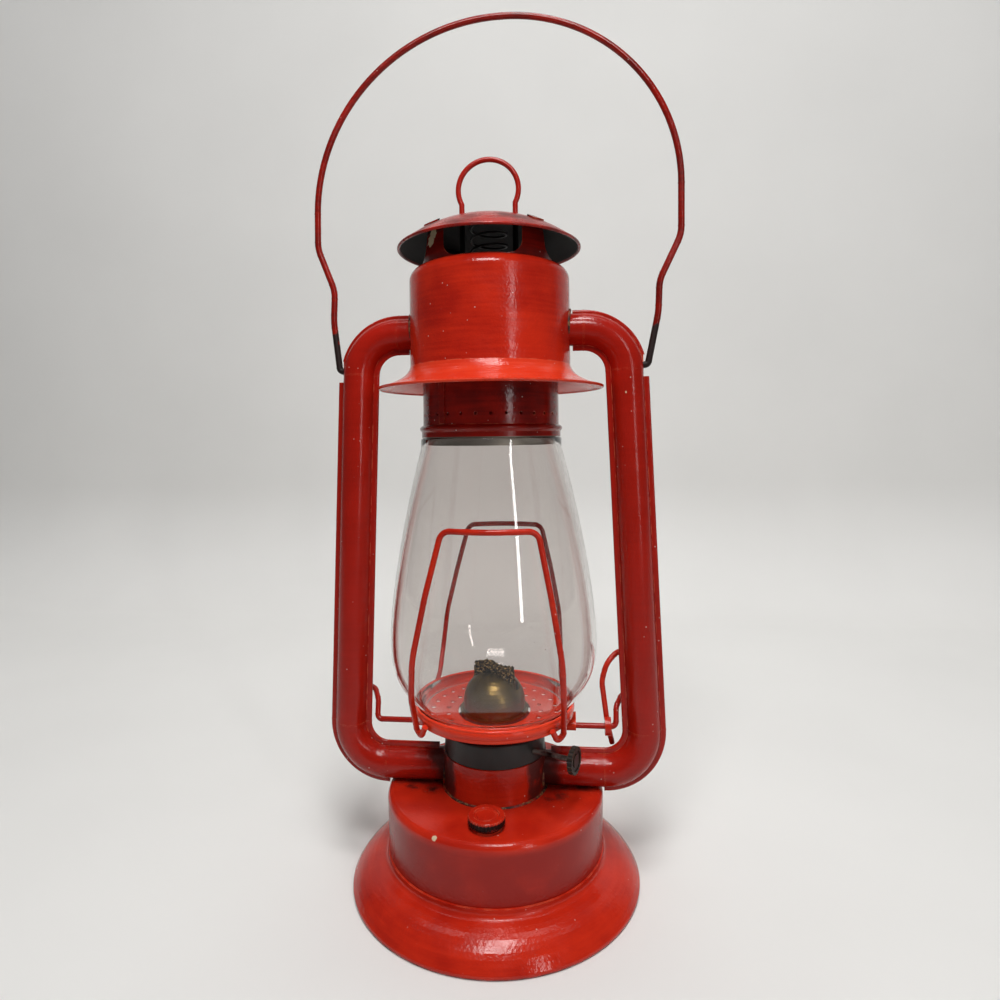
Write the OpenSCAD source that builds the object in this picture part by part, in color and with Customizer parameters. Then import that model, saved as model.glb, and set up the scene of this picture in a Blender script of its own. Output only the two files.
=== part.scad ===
// Hurricane lantern of the hot-blast tubular kind: a fuel tank on a flared base, two side tubes
// made of front and rear stampings, a burner with a flat wick, a globe on a lifting carriage,
// a sliding chimney under a vented canopy, and a wire bail.
// Millimetres, +Z up, origin on the floor under the middle of the base, front towards -Y.

/* [Sheet metal] */
// Thickness of the stamped sheet
sheet_t = 0.8; // [0.6:0.1:1.1]

/* [Base and tank] */
// Radius of the base rim
base_r = 70; // [66:1:80]
// Radius of the rolled bead round the base rim
bead_r = 1.7; // [1.4:0.1:2.2]
// Height where the skirt meets the tank wall
skirt_h = 15; // [13:0.5:18]
// Radius of the tank at its top edge
tank_r = 53; // [49:0.5:57]
// How much the tank wall narrows from top to bottom
tank_taper = 0.7; // [0:0.1:1.5]
// Height of the tank's top plate
tank_top_z = 43.5; // [39:0.5:52]
// Rounding of the tank's top edge
tank_corner_r = 3; // [1.5:0.5:5]

/* [Filler] */
// Outer radius of the filler neck
neck_r = 6.4; // [5:0.1:7.5]
// Wall of the filler neck
neck_wall = 1.2; // [0.9:0.1:1.5]
// Height of the filler neck above the tank
neck_h = 3.6; // [3.4:0.1:5]
// Wall of the filler cap round the neck
filler_cap_wall = 1.7; // [1.4:0.1:2.4]
// Height of the filler cap
filler_cap_h = 3.6; // [3.3:0.1:4.6]
// Thickness of the gasket inside the filler cap
gasket_t = 0.6; // [0.4:0.1:0.9]
// Grooves round the edge of the filler cap
filler_knurls = 32; // [24:1:40]

/* [Side tubes] */
// Outer radius of a side tube
tube_r = 7.9; // [7:0.1:8.6]
// Wall of a side tube
tube_wall = 0.7; // [0.5:0.1:1]
// How far the crimped seams stand out of a side tube
seam_w = 2.6; // [1.8:0.1:3]
// How far the outer seam stands out above the bail's pivot
top_seam_w = 1.7; // [1.2:0.1:2]
// Half the thickness of a crimped seam
seam_t = 1; // [0.7:0.1:1.2]
// Distance of a tube's leg from the middle, at the height of its lower run
tube_foot_x = 74; // [71:0.5:80]
// Gap between the canister's foot and the seam of a tube's upper run
upper_run_up = 7.1; // [6.5:0.1:8]
// Inward lean of the tubes, in degrees
tube_lean = 2; // [0:0.1:2.5]
// Centreline radius of a tube's lower bend
low_bend = 19.5; // [17:0.5:20.5]
// Centreline radius of a tube's upper bend
top_bend = 21; // [18:0.5:22]

/* [Burner] */
// Radius of the air chamber between the tank and the burner
chamber_r = 25.4; // [24:0.1:27]
// Height of the burner's band
band_h = 11; // [10:0.5:13]
// Radius of the burner's throat
throat_r = 14.5; // [13.8:0.1:15]
// Height of the throat above the band
throat_h = 8.5; // [8:0.1:9.5]
// Radius of the flame cone's dome
cone_r = 15.3; // [14.8:0.1:16]
// Radius of the flame cone's flange
cone_rim_r = 17; // [16.5:0.1:18]
// Height of the flame cone
cone_h = 18; // [16:0.5:20]
// Width of the flat wick
wick_w = 22; // [18:0.5:22.5]
// Thickness of the flat wick
wick_t = 2.6; // [2:0.1:3]
// Turn of the burner round the lantern's axis, in degrees
burner_turn = -23; // [-35:1:-15]
// Height of the wick shaft above the burner's seat
shaft_up = 5; // [4:0.1:6]
// Radius of the wick shaft
shaft_r = 1.2; // [1:0.1:1.4]
// Radius of the wick raiser's toothed wheels
wheel_r = 4; // [3.6:0.1:4.3]
// Teeth on each wheel
wheel_teeth = 14; // [10:1:18]
// Distance of the knob from the lantern's axis, along the shaft
knob_reach = 43.4; // [41:0.5:47]
// Radius of the wick knob
knob_r = 6.2; // [5:0.1:7]
// Thickness of the wick knob
knob_t = 2.4; // [2:0.1:3]

/* [Globe and carriage] */
// Height of the globe
globe_h = 135; // [125:1:145]
// Largest radius of the globe
globe_r = 50.9; // [48:0.1:52.5]
// Radius of the globe's foot
globe_foot_r = 38; // [36:0.1:40]
// Radius of the globe's mouth
globe_mouth_r = 34.9; // [33.5:0.1:36.5]
// Height of the globe's widest place above its foot
globe_wide_h = 37; // [32:1:42]
// Thickness of the glass
glass_t = 2.3; // [1.8:0.1:3]
// Height of the carriage plate above the burner's band
plate_up = 8; // [7.6:0.1:9]
// Height of the carriage plate's rim
plate_rim_h = 4.7; // [4:0.1:6]
// Radius of the guard, crossbar and lever wire
wire_r = 1.35; // [1.1:0.05:1.5]
// Distance of the crossbar below the carriage plate
crossbar_drop = 7.4; // [6:0.1:8]
// Gap between the burner's band and the crossbar's bow round it
crossbar_room = 5; // [4:0.5:5.5]
// Rise of the crossbar's ends behind the tubes
crossbar_rise = 14; // [13:0.5:16]
// Rise of the lift lever above the crossbar
lever_rise = 35; // [32:0.5:38]
// Gap between the lift lever and the right tube's seam
lever_room = 5.6; // [5:0.1:6.5]
// Height of the front guard's top bar above the globe's foot
front_guard_h = 94; // [80:1:104]
// Height of the rear guard's top bar above the globe's foot
rear_guard_h = 86; // [75:1:100]
// Half the width of a guard at its top bar
guard_top_w = 21.3; // [18:0.5:24]
// Half the width of a guard at its widest
guard_wide_w = 34; // [31:0.5:36]
// Sideways lean of a guard's top bar
guard_lean = 3; // [0:0.5:5]

/* [Chimney] */
// Height of the chimney collar above the globe's mouth
collar_h = 41; // [36:1:44]
// Radius of the small air holes round the collar
collar_hole_r = 0.75; // [0.5:0.05:1]
// Radius of the pull ring, to the middle of its wire
ring_r = 15.1; // [13:0.1:17]
// Half the distance between the legs of the pull ring
ring_leg_x = 13.4; // [12.5:0.1:14]
// Height of the pull ring's middle above the rain cap
ring_up = 14.5; // [12:0.5:18]
// Coil radius of the chimney spring
spring_r = 9; // [7:0.5:10]
// Wire radius of the chimney spring
spring_wire_r = 0.6; // [0.4:0.1:0.8]
// Curls of the chimney spring
spring_curls = 12; // [8:1:14]

/* [Canopy] */
// Radius of the canister
canister_r = 39.65; // [39:0.05:43]
// Height of the canister's wall
canister_h = 42; // [40:0.5:46]
// Height of the canister above the globe's mouth
canister_up = 35; // [33:0.5:38]
// Radius of the canister's rounded shoulder
shoulder_r = 6; // [4.5:0.1:6.5]
// Radius of the hood's rim
hood_r = 55.8; // [52:0.1:60]
// Drop of the hood's rim below the canister
hood_drop = 10.3; // [8:0.1:12]
// Height of the crown's windows under the rain cap's edge
crown_gap = 10; // [8:0.5:13]
// Width of a crown strut
strut_w = 12; // [10:0.5:14]
// Radius of the rain cap
rain_cap_r = 45.5; // [43:0.5:48]
// Rise of the rain cap's dome
rain_cap_rise = 16.2; // [13:0.1:18]

/* [Bail] */
// Radius of the bail wire
bail_wire_r = 1.6; // [1.3:0.05:1.8]
// Drop of the bail's pivots below the tubes' upper run
bail_drop = 18; // [17:0.5:20]
// Radius of the bail's arch
bail_arch_r = 91.5; // [88:0.5:98]
// Height of the arch's middle above the pivots
bail_arch_up = 83.8; // [76:0.5:95]
// Sideways lean of the bent bail, in degrees
bail_lean = 2.6; // [0:0.1:3]

/* [Hidden] */
$fn = 72;

red = "#b3261c";
black = "#26211f";
brass = "#6b5432";
steel = "#8d8a85";

// Running clearance of a shaft or pin in its hole
run_gap = 0.06;
// Clearance between pieces that move past each other
free_gap = 0.4;
// Gap between a piece and what it rests on
seat_gap = 0.2;

// Stretches of wire and tube stop just short of each joint, and a narrow band a hair thicker joins them
joint_gap = 0.1;
joint_band = 0.08;

// Heights, from the floor up
tube_low_z = tank_top_z + tube_r + seat_gap;
chamber_top_z = tube_low_z + tube_r + 1.5;
fount_top_z = chamber_top_z - 1;
band_top_z = chamber_top_z + band_h;
cone_seat_z = band_top_z + throat_h;
shaft_z = chamber_top_z + shaft_up;
plate_z = band_top_z + plate_up;
crossbar_z = plate_z - crossbar_drop;
globe_wide_z = plate_z + globe_wide_h;
globe_top_z = plate_z + globe_h;
canister_z = globe_top_z + canister_up;
shoulder_z = canister_z + canister_h;
tube_top_z = canister_z + tube_r + seam_w + upper_run_up;
bail_z = tube_top_z - bail_drop;
rain_cap_z = shoulder_z + shoulder_r + crown_gap;
rain_cap_top_z = rain_cap_z + rain_cap_rise;
ring_z = rain_cap_top_z + ring_up;

// Radii that follow from their neighbours
fount_r = throat_r + 1.5;
band_r = chamber_r - 0.6;
filler_y = (chamber_r + tank_r) / 2;
filler_cap_r = neck_r + seat_gap + filler_cap_wall;
plate_rim_r = globe_foot_r + 0.5 + sheet_t;
collar_r = globe_mouth_r - 1.3;
collar_t = 0.6;
crown_r = canister_r - shoulder_r + 0.5;
bead_c = [base_r - bead_r, bead_r - 0.3];

// Outer radius of the tapering tank wall at height z
function tank_wall_r(z) = tank_r - tank_taper * (tank_top_z - z) / (tank_top_z - skirt_h);

// Distance of a tube's middle from the lantern's axis at height z
function tube_x(z) = tube_foot_x - (z - tube_low_z) * tan(tube_lean);

// Outer radius of the globe at height z: a straight foot in the plate's rim, the swell and a straight lip
globe_lip_h = 5;
globe_ring_h = plate_rim_h + 1;
function globe_at(z) =
    let (up = (z - globe_wide_z) / (globe_top_z - globe_lip_h - globe_wide_z))
    let (down = (globe_wide_z - z) / (globe_wide_h - globe_ring_h))
    z < globe_wide_z ? globe_r - (globe_r - globe_foot_r) * pow(min(down, 1), 2.8)
    : globe_r - (globe_r - globe_mouth_r) * pow(min(up, 1), 1.53);

// Height of the rain cap's outer surface at radius r
rain_cap_arc = (rain_cap_r * rain_cap_r + rain_cap_rise * rain_cap_rise) / (2 * rain_cap_rise);
function rain_cap_at(r) = rain_cap_top_z - rain_cap_arc + sqrt(rain_cap_arc * rain_cap_arc - r * r);

// Plane curves
function unit(v) = v / norm(v);
function reversed(p) = [for (i = [len(p) - 1 : -1 : 0]) p[i]];
function arc(c, r, a0, a1, n = 8) =
    [for (i = [0 : n]) let (a = a0 + (a1 - a0) * i / n) c + r * [cos(a), sin(a)]];
function heading(a, b) = atan2(b.y - a.y, b.x - a.x);

// Arc from a to b that turns left by so many degrees, or right if they are negative
function arc_between(a, b, turn, n = 8) =
    let (r = norm(b - a) / (2 * sin(turn / 2)))
    let (start = heading(a, b) - turn / 2)
    arc(a + r * [cos(start + 90), sin(start + 90)], r, start - 90, start - 90 + turn, n);

// Quadratic curve from a to c that bends towards b
function curve(a, b, c, n = 8) =
    [for (i = [0 : n]) let (t = i / n) (1 - t) * (1 - t) * a + 2 * t * (1 - t) * b + t * t * c];

// A path moved to its left by t, with mitred corners, and the strip between the two
function left_of(a, b) = let (d = unit(b - a)) [-d.y, d.x];
function moved(p, t) =
    [for (i = [0 : len(p) - 1])
        let (before = left_of(p[max(i - 1, 0)], p[max(i, 1)]))
        let (after = left_of(p[min(i, len(p) - 2)], p[min(i + 1, len(p) - 1)]))
        p[i] + 2 * t * (before + after) / ((before + after) * (before + after))];
function on_axis(p) = [for (q = p) [q.x < 0.001 ? 0 : q.x, q.y]];
function strip(p, t) = on_axis(concat(p, reversed(moved(p, t))));

// Sheet of thickness t spun round the axis, on the left of its outer path
module spun(p, t = sheet_t) {
    rotate_extrude() polygon(strip(p, t));
}

// Ring of round wire or hem with its section's middle at c
module hem(c, r) {
    rotate_extrude() translate(c) circle(r);
}

// Places its children with their axes along the three directions, at c
module framed(x, y, z, c) {
    multmatrix([[x.x, y.x, z.x, c.x], [x.y, y.y, z.y, c.y], [x.z, y.z, z.z, c.z]]) children();
}

// Straight rod from a to b
module rod(a, b, r) {
    d = b - a;
    translate(a)
        rotate([0, acos(d.z / norm(d)), atan2(d.y, d.x)])
            cylinder(h = norm(d), r = r);
}

// Length that a bend takes from each of its two straights
function bend_cut(a, b, c, bend) =
    let (turn = acos(unit(b - a) * unit(c - b)))
    bend * tan(turn / 2);

// Round bend in a wire that runs from a past b to c, with a band over each of its joints
module elbow(a, b, c, r, bend) {
    u = unit(b - a);
    v = unit(c - b);
    side = unit(v - u * (u * v));
    cut = bend_cut(a, b, c, bend);
    trim = joint_gap / bend * 180 / PI;
    framed(-side, u, cross(u, side), b - u * cut + side * bend)
        rotate(trim)
            rotate_extrude(angle = acos(u * v) - 2 * trim)
                translate([bend, 0]) circle(r);
    for (joint = [[b - u * cut, u], [b + v * cut, v]]) {
        half = 3 * joint_gap * joint[1];
        rod(joint[0] - half, joint[0] + half, r + joint_band);
    }
}

// Wire through the points p, rounded at each inner point by the bend of the same place in bends
module wire(p, r, bends) {
    last = len(p) - 1;
    cut = [for (i = [0 : last])
        i == 0 || i == last ? 0 : bend_cut(p[i - 1], p[i], p[i + 1], bends[i - 1]) + joint_gap];
    for (i = [0 : last - 1]) {
        u = unit(p[i + 1] - p[i]);
        rod(p[i] + u * cut[i], p[i + 1] - u * cut[i + 1], r);
    }
    for (i = [1 : last - 1]) {
        elbow(p[i - 1], p[i], p[i + 1], r, bends[i - 1]);
    }
}

// Flat shape with round ends, as wide as w over all
module oblong(w, t) {
    square([w - t, t], center = true);
    for (s = [-1, 1]) {
        translate([s * (w - t) / 2, 0]) circle(d = t);
    }
}

// Base and tank

// Flared skirt that carries the tank, with a rolled bead that stands on the floor
skirt_lap = 1.6;
cove = [2.1, 2.5];
module base_skirt() {
    foot = bead_c + bead_r * [cos(40), sin(40)];
    collar = [tank_wall_r(skirt_h) + sheet_t, skirt_h];
    knee = collar + [cove.x, -cove.y];
    cove_turn = 2 * (heading(knee, collar) - 90);
    skirt_turn = 2 * (heading(knee, collar) + cove_turn / 2 - heading(foot, knee));
    top = [tank_wall_r(skirt_h + skirt_lap) + sheet_t, skirt_h + skirt_lap];
    path = concat(arc_between(foot, knee, skirt_turn), arc_between(knee, collar, -cove_turn), [top]);
    unique = [for (i = [0 : len(path) - 1]) if (i == 0 || norm(path[i] - path[i - 1]) > 0.001) path[i]];
    color(red)
        difference() {
            union() {
                spun(unique);
                hem(bead_c, bead_r);
            }
            translate([0, 0, -bead_r]) cylinder(h = bead_r, r = base_r + bead_r);
        }
}

// Dished floor, soldered inside the tank wall
module tank_floor() {
    low = skirt_h + sheet_t;
    corner = 3.5 * sheet_t;
    flange_top = low + 8 * sheet_t;
    edge_r = tank_wall_r(low) - sheet_t;
    path = concat([[0, low]], arc([edge_r - corner, low + corner], corner, -90, 0, 4),
        [[tank_wall_r(flange_top) - sheet_t, flange_top]]);
    color(red) spun(path);
}

// Drawn shell of the tank: wall and top plate, with holes for the burner and the filler
module tank_shell() {
    bottom = skirt_h - 1.8;
    path = concat([[tank_wall_r(bottom), bottom]],
        arc([tank_r - tank_corner_r, tank_top_z - tank_corner_r], tank_corner_r, 0, 90, 6),
        [[fount_r, tank_top_z]]);
    color(red)
        difference() {
            spun(path);
            translate([0, -filler_y, tank_top_z - 2 * sheet_t])
                cylinder(h = 4 * sheet_t, r = neck_r);
        }
}

// Filler

// Neck soldered through the tank's top plate
module filler_neck() {
    below = 2.4;
    color(red)
        translate([0, -filler_y, tank_top_z])
            difference() {
                union() {
                    translate([0, 0, -below]) cylinder(h = below + neck_h, r = neck_r);
                    cylinder(h = sheet_t, r = neck_r + 0.7);
                }
                translate([0, 0, -below - 1]) cylinder(h = below + neck_h + 2, r = neck_r - neck_wall);
            }
}

// Washer that seals the cap on the neck's rim
module filler_gasket() {
    color(black)
        translate([0, -filler_y, tank_top_z + neck_h])
            difference() {
                cylinder(h = gasket_t, r = neck_r);
                translate([0, 0, -1]) cylinder(h = gasket_t + 2, r = neck_r - neck_wall);
            }
}

// Screw cap with a grooved edge and a dished top
filler_cap_roof = 1.2;
module filler_cap() {
    top = filler_cap_h;
    bore_r = neck_r + seat_gap;
    depth = filler_cap_h - filler_cap_roof;
    dish_r = filler_cap_r - 2.5;
    disc_r = dish_r - 1.3;
    edge = 0.5;
    profile = concat([[0, depth], [bore_r, depth], [bore_r, 0], [filler_cap_r - edge, 0],
        [filler_cap_r, edge]], arc([filler_cap_r - edge, top - edge], edge, 0, 90, 4),
        [[dish_r, top], [dish_r - 0.4, top - 0.7], [disc_r, top - 0.7], [disc_r - 0.3, top - 0.3],
        [0, top - 0.3]]);
    color(red)
        translate([0, -filler_y, tank_top_z + neck_h + gasket_t - depth])
            difference() {
                rotate_extrude() polygon(profile);
                for (i = [1 : filler_knurls]) {
                    rotate(360 * i / filler_knurls)
                        translate([filler_cap_r + 0.1, 0, -1]) cylinder(h = top + 2, r = 0.4);
                }
            }
}

// Side tubes

// Section of one stamping: half a tube with a rounded seam strip on both edges, grown by so much,
// whose outer strip stands out by out_w
module tube_half_section(side, out_w, grow = 0) {
    reach = tube_r + seam_w;
    intersection() {
        difference() {
            union() {
                circle(tube_r + grow);
                translate([(out_w - seam_w) / 2, 0])
                    oblong(2 * tube_r + seam_w + out_w + 2 * grow, 2 * (seam_t + grow));
            }
            circle(tube_r - tube_wall - grow);
        }
        translate([-reach - 1, side > 0 ? 0 : -reach]) square([2 * reach + 2, reach]);
    }
}

// Straight stretch of a stamping from a to b in the plane of the tube
module tube_straight(a, b, side, out_w, grow = 0) {
    d = unit(b - a);
    framed([d.y, 0, -d.x], [0, 1, 0], [d.x, 0, d.y], [a.x, 0, a.y])
        linear_extrude(norm(b - a)) tube_half_section(side, out_w, grow);
}

// Bend of a stamping that heads along the angle start and turns left by turn, from a
module tube_bend(a, start, turn, bend, side, out_w) {
    u = [cos(start), sin(start)];
    out = [u.y, -u.x];
    c = a - out * bend;
    trim = joint_gap / bend * 180 / PI;
    framed([out.x, 0, out.y], [u.x, 0, u.y], [0, -1, 0], [c.x, 0, c.y])
        rotate(trim)
            rotate_extrude(angle = turn - 2 * trim)
                translate([bend, 0]) tube_half_section(-side, out_w);
}

// Narrow band over the joint at p, where the tube heads along d
module tube_joint(p, d, side, out_w) {
    tube_straight(p - 3 * joint_gap * d, p + 3 * joint_gap * d, side, out_w, joint_band);
}

// One stamping of the right tube, from the air chamber up to the canister
module tube_half(side) {
    rise = 90 + tube_lean;
    inside = 1.5;
    low_corner = [tube_foot_x, tube_low_z];
    top_corner = [tube_x(tube_top_z), tube_top_z];
    leg = unit(top_corner - low_corner);
    low_cut = low_bend * tan(rise / 2);
    top_cut = top_bend * tan((180 - rise) / 2);
    start = [chamber_r - inside, tube_low_z];
    low_a = low_corner - [low_cut, 0];
    low_b = low_corner + leg * low_cut;
    top_a = top_corner - leg * top_cut;
    top_b = top_corner - [top_cut, 0];
    end = [canister_r - inside, tube_top_z];
    past = 5;
    reach = 2 * (tube_r + seam_w);
    notch_up = bail_wire_r + 3.4;
    notch_down = bail_wire_r + 4.1;
    pivot_x = tube_x(bail_z);
    difference() {
        union() {
            tube_straight(start, low_a - [joint_gap, 0], side, seam_w);
            tube_joint(low_a, [1, 0], side, seam_w);
            tube_bend(low_a, 0, rise, low_bend, side, seam_w);
            tube_joint(low_b, leg, side, seam_w);
            tube_straight(low_b + joint_gap * leg, top_a - joint_gap * leg, side, seam_w);
            tube_joint(top_a, leg, side, top_seam_w);
            tube_bend(top_a, rise, 180 - rise, top_bend, side, top_seam_w);
            tube_joint(top_b, [-1, 0], side, top_seam_w);
            tube_straight(top_b - [joint_gap, 0], end, side, top_seam_w);
        }
        // Seams end at the air chamber, over the tank and at the canister
        seam_cut([chamber_r - past, tube_low_z + tube_r], [past + seam_w, reach]);
        seam_cut([chamber_r - past, tube_low_z - tube_r - reach],
            [tank_r + sheet_t + past - chamber_r, reach]);
        seam_cut([canister_r - past, tube_top_z + tube_r], [past + seam_w / 2, reach]);
        seam_cut([canister_r - past, tube_top_z - tube_r - reach], [past + seam_w / 2, reach]);
        // The outer seam is cut away for the bail, whose end turns in a hole on the seam line
        seam_cut([pivot_x + tube_r, bail_z - notch_down], [reach, notch_down + notch_up]);
        translate([pivot_x, 0, bail_z])
            rotate([0, 90, 0]) cylinder(h = reach, r = bail_wire_r + run_gap);
    }
}

// Block that trims a seam, from its low corner in the plane of the tube
module seam_cut(corner, size) {
    translate([corner.x, -2 * seam_t, corner.y]) cube([size.x, 4 * seam_t, size.y]);
}

module right_tube_front() {
    color(red) tube_half(-1);
}

module right_tube_rear() {
    color(red) tube_half(1);
}

module left_tube_front() {
    color(red) mirror([1, 0, 0]) tube_half(-1);
}

module left_tube_rear() {
    color(red) mirror([1, 0, 0]) tube_half(1);
}

// Burner

// Air chamber on the tank: the side tubes open into it, and the burner's band stands on its lip
module air_chamber() {
    corner = 0.4;
    path = concat([[chamber_r, tank_top_z]],
        arc([chamber_r - corner, chamber_top_z - corner], corner, 0, 90, 4),
        [[band_r - 3, chamber_top_z]]);
    color(red)
        difference() {
            spun(path);
            translate([-2 * chamber_r, 0, tube_low_z])
                rotate([0, 90, 0]) cylinder(h = 4 * chamber_r, r = tube_r);
        }
}

// Collar that carries the burner, soldered into the tank's top plate
module fount_collar() {
    below = 3;
    color(brass)
        difference() {
            union() {
                translate([0, 0, tank_top_z - below])
                    cylinder(h = fount_top_z - tank_top_z + below, r = fount_r);
                translate([0, 0, tank_top_z]) cylinder(h = sheet_t, r = fount_r + 3);
            }
            translate([0, 0, tank_top_z - below - 1])
                cylinder(h = fount_top_z - tank_top_z + below + 2, r = fount_r - sheet_t);
        }
}

// Outer size of the flat wick tube, and of the wick's passage through it
wick_gap = 0.3;
wick_tube_wall = 0.5;
passage_w = wick_w + 2 * wick_gap;
passage_t = wick_t + 2 * wick_gap;
wick_tube_w = passage_w + 2 * wick_tube_wall;
wick_tube_t = passage_t + 2 * wick_tube_wall;
shaft_y = -(wick_t / 2 + 0.15 + wheel_r);

// Plug that screws into the fount collar and holds the wick tube
module burner_base() {
    plug_h = 6;
    flange_h = 1.2;
    plug_r = fount_r - sheet_t;
    color(brass)
        difference() {
            union() {
                translate([0, 0, fount_top_z - plug_h]) cylinder(h = plug_h, r = plug_r);
                translate([0, 0, fount_top_z]) cylinder(h = flange_h, r = fount_r + 2);
            }
            translate([0, 0, fount_top_z - plug_h - 1]) cylinder(h = plug_h, r = plug_r - 1);
            rotate(burner_turn)
                translate([0, 0, fount_top_z - plug_h])
                    linear_extrude(plug_h + flange_h + 1) oblong(wick_tube_w, wick_tube_t);
        }
}

// Band, perforated deck and throat of the burner, pressed from one sheet
module burner_collar() {
    corner = 1.2;
    holes = 24;
    path = concat([[band_r, chamber_top_z]],
        arc([band_r - corner, band_top_z - corner], corner, 0, 90, 4),
        [[throat_r, band_top_z], [throat_r, cone_seat_z]]);
    color(black)
        difference() {
            spun(path);
            for (i = [1 : holes]) {
                rotate(360 * i / holes)
                    translate([(band_r + throat_r) / 2, 0, band_top_z - 2 * sheet_t])
                        cylinder(h = 4 * sheet_t, r = 1.1);
            }
            rotate(burner_turn)
                translate([throat_r, shaft_y, shaft_z])
                    rotate([0, 90, 0]) cylinder(h = band_r, r = shaft_r + run_gap);
        }
}

// Flame cone: a flanged dome with a slot over the wick
module burner_cone() {
    sheet = 0.6;
    foot_z = cone_seat_z + sheet;
    wall_h = 3;
    rise = cone_h - wall_h;
    dome = [for (a = [0 : 7.5 : 90]) [cone_r * cos(a), foot_z + wall_h + rise * sin(a)]];
    path = concat([[cone_rim_r, foot_z], [cone_r, foot_z]], dome);
    color(brass)
        difference() {
            spun(path, sheet);
            rotate(burner_turn)
                translate([0, 0, cone_seat_z + cone_h - 9])
                    linear_extrude(cone_h) oblong(2 * cone_r - 4, wick_tube_t + 3);
        }
}

// Flat tube that guides the wick, with two lugs for the shaft and slots for the wheels
wheel_pitch = wick_w / 3.2;
wheel_t = 1.2;
module wick_tube() {
    lug_t = 1.2;
    lug_x = wheel_pitch + wheel_t / 2 + free_gap;
    lug_r = shaft_r + 1;
    bottom = fount_top_z - 8;
    color(brass)
        rotate(burner_turn)
            difference() {
                union() {
                    translate([0, 0, bottom])
                        linear_extrude(cone_seat_z + cone_h - 4 - bottom) oblong(wick_tube_w, wick_tube_t);
                    for (s = [-1, 1]) {
                        translate([s * (lug_x + lug_t / 2), 0, shaft_z])
                            rotate([90, 0, 90])
                                linear_extrude(lug_t, center = true) {
                                    translate([shaft_y, 0]) circle(lug_r);
                                    translate([shaft_y, -lug_r]) square([-shaft_y, 2 * lug_r]);
                                }
                    }
                }
                translate([0, 0, bottom - 1])
                    linear_extrude(cone_seat_z + cone_h - bottom) oblong(passage_w, passage_t);
                translate([-wick_w, shaft_y, shaft_z])
                    rotate([0, 90, 0]) cylinder(h = 2 * wick_w, r = shaft_r + run_gap);
                for (i = [-1 : 1]) {
                    translate([i * wheel_pitch, shaft_y / 2, shaft_z])
                        cube([wheel_t + 2 * free_gap, -shaft_y, 2 * wheel_r + 1], center = true);
                }
            }
}

// Flat woven wick, hanging into the tank
module wick() {
    hang = 30;
    top = cone_seat_z + cone_h + 2.5;
    color("#3a3430")
        rotate(burner_turn)
            translate([0, 0, tank_top_z - hang / 2])
                linear_extrude(top - tank_top_z + hang / 2) oblong(wick_w, wick_t);
}

// Shaft of the wick raiser
module wick_shaft() {
    inner = wheel_pitch + wheel_t + 3;
    color(steel)
        rotate(burner_turn)
            translate([-inner, shaft_y, shaft_z])
                rotate([0, 90, 0]) cylinder(h = inner + knob_reach, r = shaft_r);
}

// Three toothed wheels that grip the wick through the slots in its tube
module spur_wheels() {
    root_r = wheel_r - 0.9;
    step = 360 / wheel_teeth;
    star = [for (i = [0 : wheel_teeth - 1], k = [0, 1])
        let (a = step * (i + k / 2)) (k == 0 ? wheel_r : root_r) * [cos(a), sin(a)]];
    color(brass)
        rotate(burner_turn)
            for (i = [-1 : 1]) {
                translate([i * wheel_pitch, shaft_y, shaft_z])
                    rotate([90, 0, 90])
                        linear_extrude(wheel_t, center = true)
                            difference() {
                                polygon(star);
                                circle(shaft_r);
                            }
            }
}

// Knob that turns the shaft, with a scalloped edge
module wick_knob() {
    scallops = 20;
    boss_r = shaft_r + 1.3;
    boss_t = 1.6;
    color(black)
        rotate(burner_turn)
            translate([knob_reach, shaft_y, shaft_z])
                rotate([0, 90, 0])
                    difference() {
                        union() {
                            translate([0, 0, -boss_t]) cylinder(h = boss_t, r = boss_r);
                            cylinder(h = knob_t, r = knob_r);
                        }
                        translate([0, 0, -boss_t - 1]) cylinder(h = boss_t + 1, r = shaft_r);
                        for (i = [1 : scallops]) {
                            rotate(360 * i / scallops)
                                translate([knob_r + 0.25, 0, -1]) cylinder(h = knob_t + 2, r = 0.7);
                        }
                        translate([0, 0, knob_t - 0.5])
                            difference() {
                                cylinder(h = 1, r = knob_r - 1.6);
                                translate([0, 0, -1]) cylinder(h = 3, r = knob_r - 3.2);
                            }
                    }
}

// Globe and carriage

// Perforated plate with a bulged rim round the globe's foot, and eyes for the crossbar
ear_l = 5;
ear_x = plate_rim_r - 1.5;
rim_turn = 56;
rim_corner = 1;
rim_bulge = (plate_rim_h - rim_corner) / 2 * tan(rim_turn / 4);
module globe_plate() {
    low = plate_z - sheet_t;
    hole_r = cone_rim_r + 1;
    rim_top = [plate_rim_r, plate_z + plate_rim_h];
    path = concat([[hole_r, low]], arc([plate_rim_r - rim_corner, low + rim_corner], rim_corner, -90, 0, 4),
        arc_between([plate_rim_r, plate_z + rim_corner], rim_top, rim_turn));
    rings = [[hole_r + 5, 22], [plate_rim_r - 8.3, 28]];
    color(red) {
        difference() {
            union() {
                spun(path);
                hem(rim_top - [sheet_t / 2, 0], sheet_t * 0.9);
            }
            for (ring = rings, i = [1 : ring[1]]) {
                rotate(360 * i / ring[1])
                    translate([ring[0], 0, low - 1]) cylinder(h = sheet_t + 2, r = 1.4);
            }
        }
        for (s = [-1, 1]) {
            translate([s * ear_x, 0, 0]) crossbar_eye();
        }
    }
}

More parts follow.
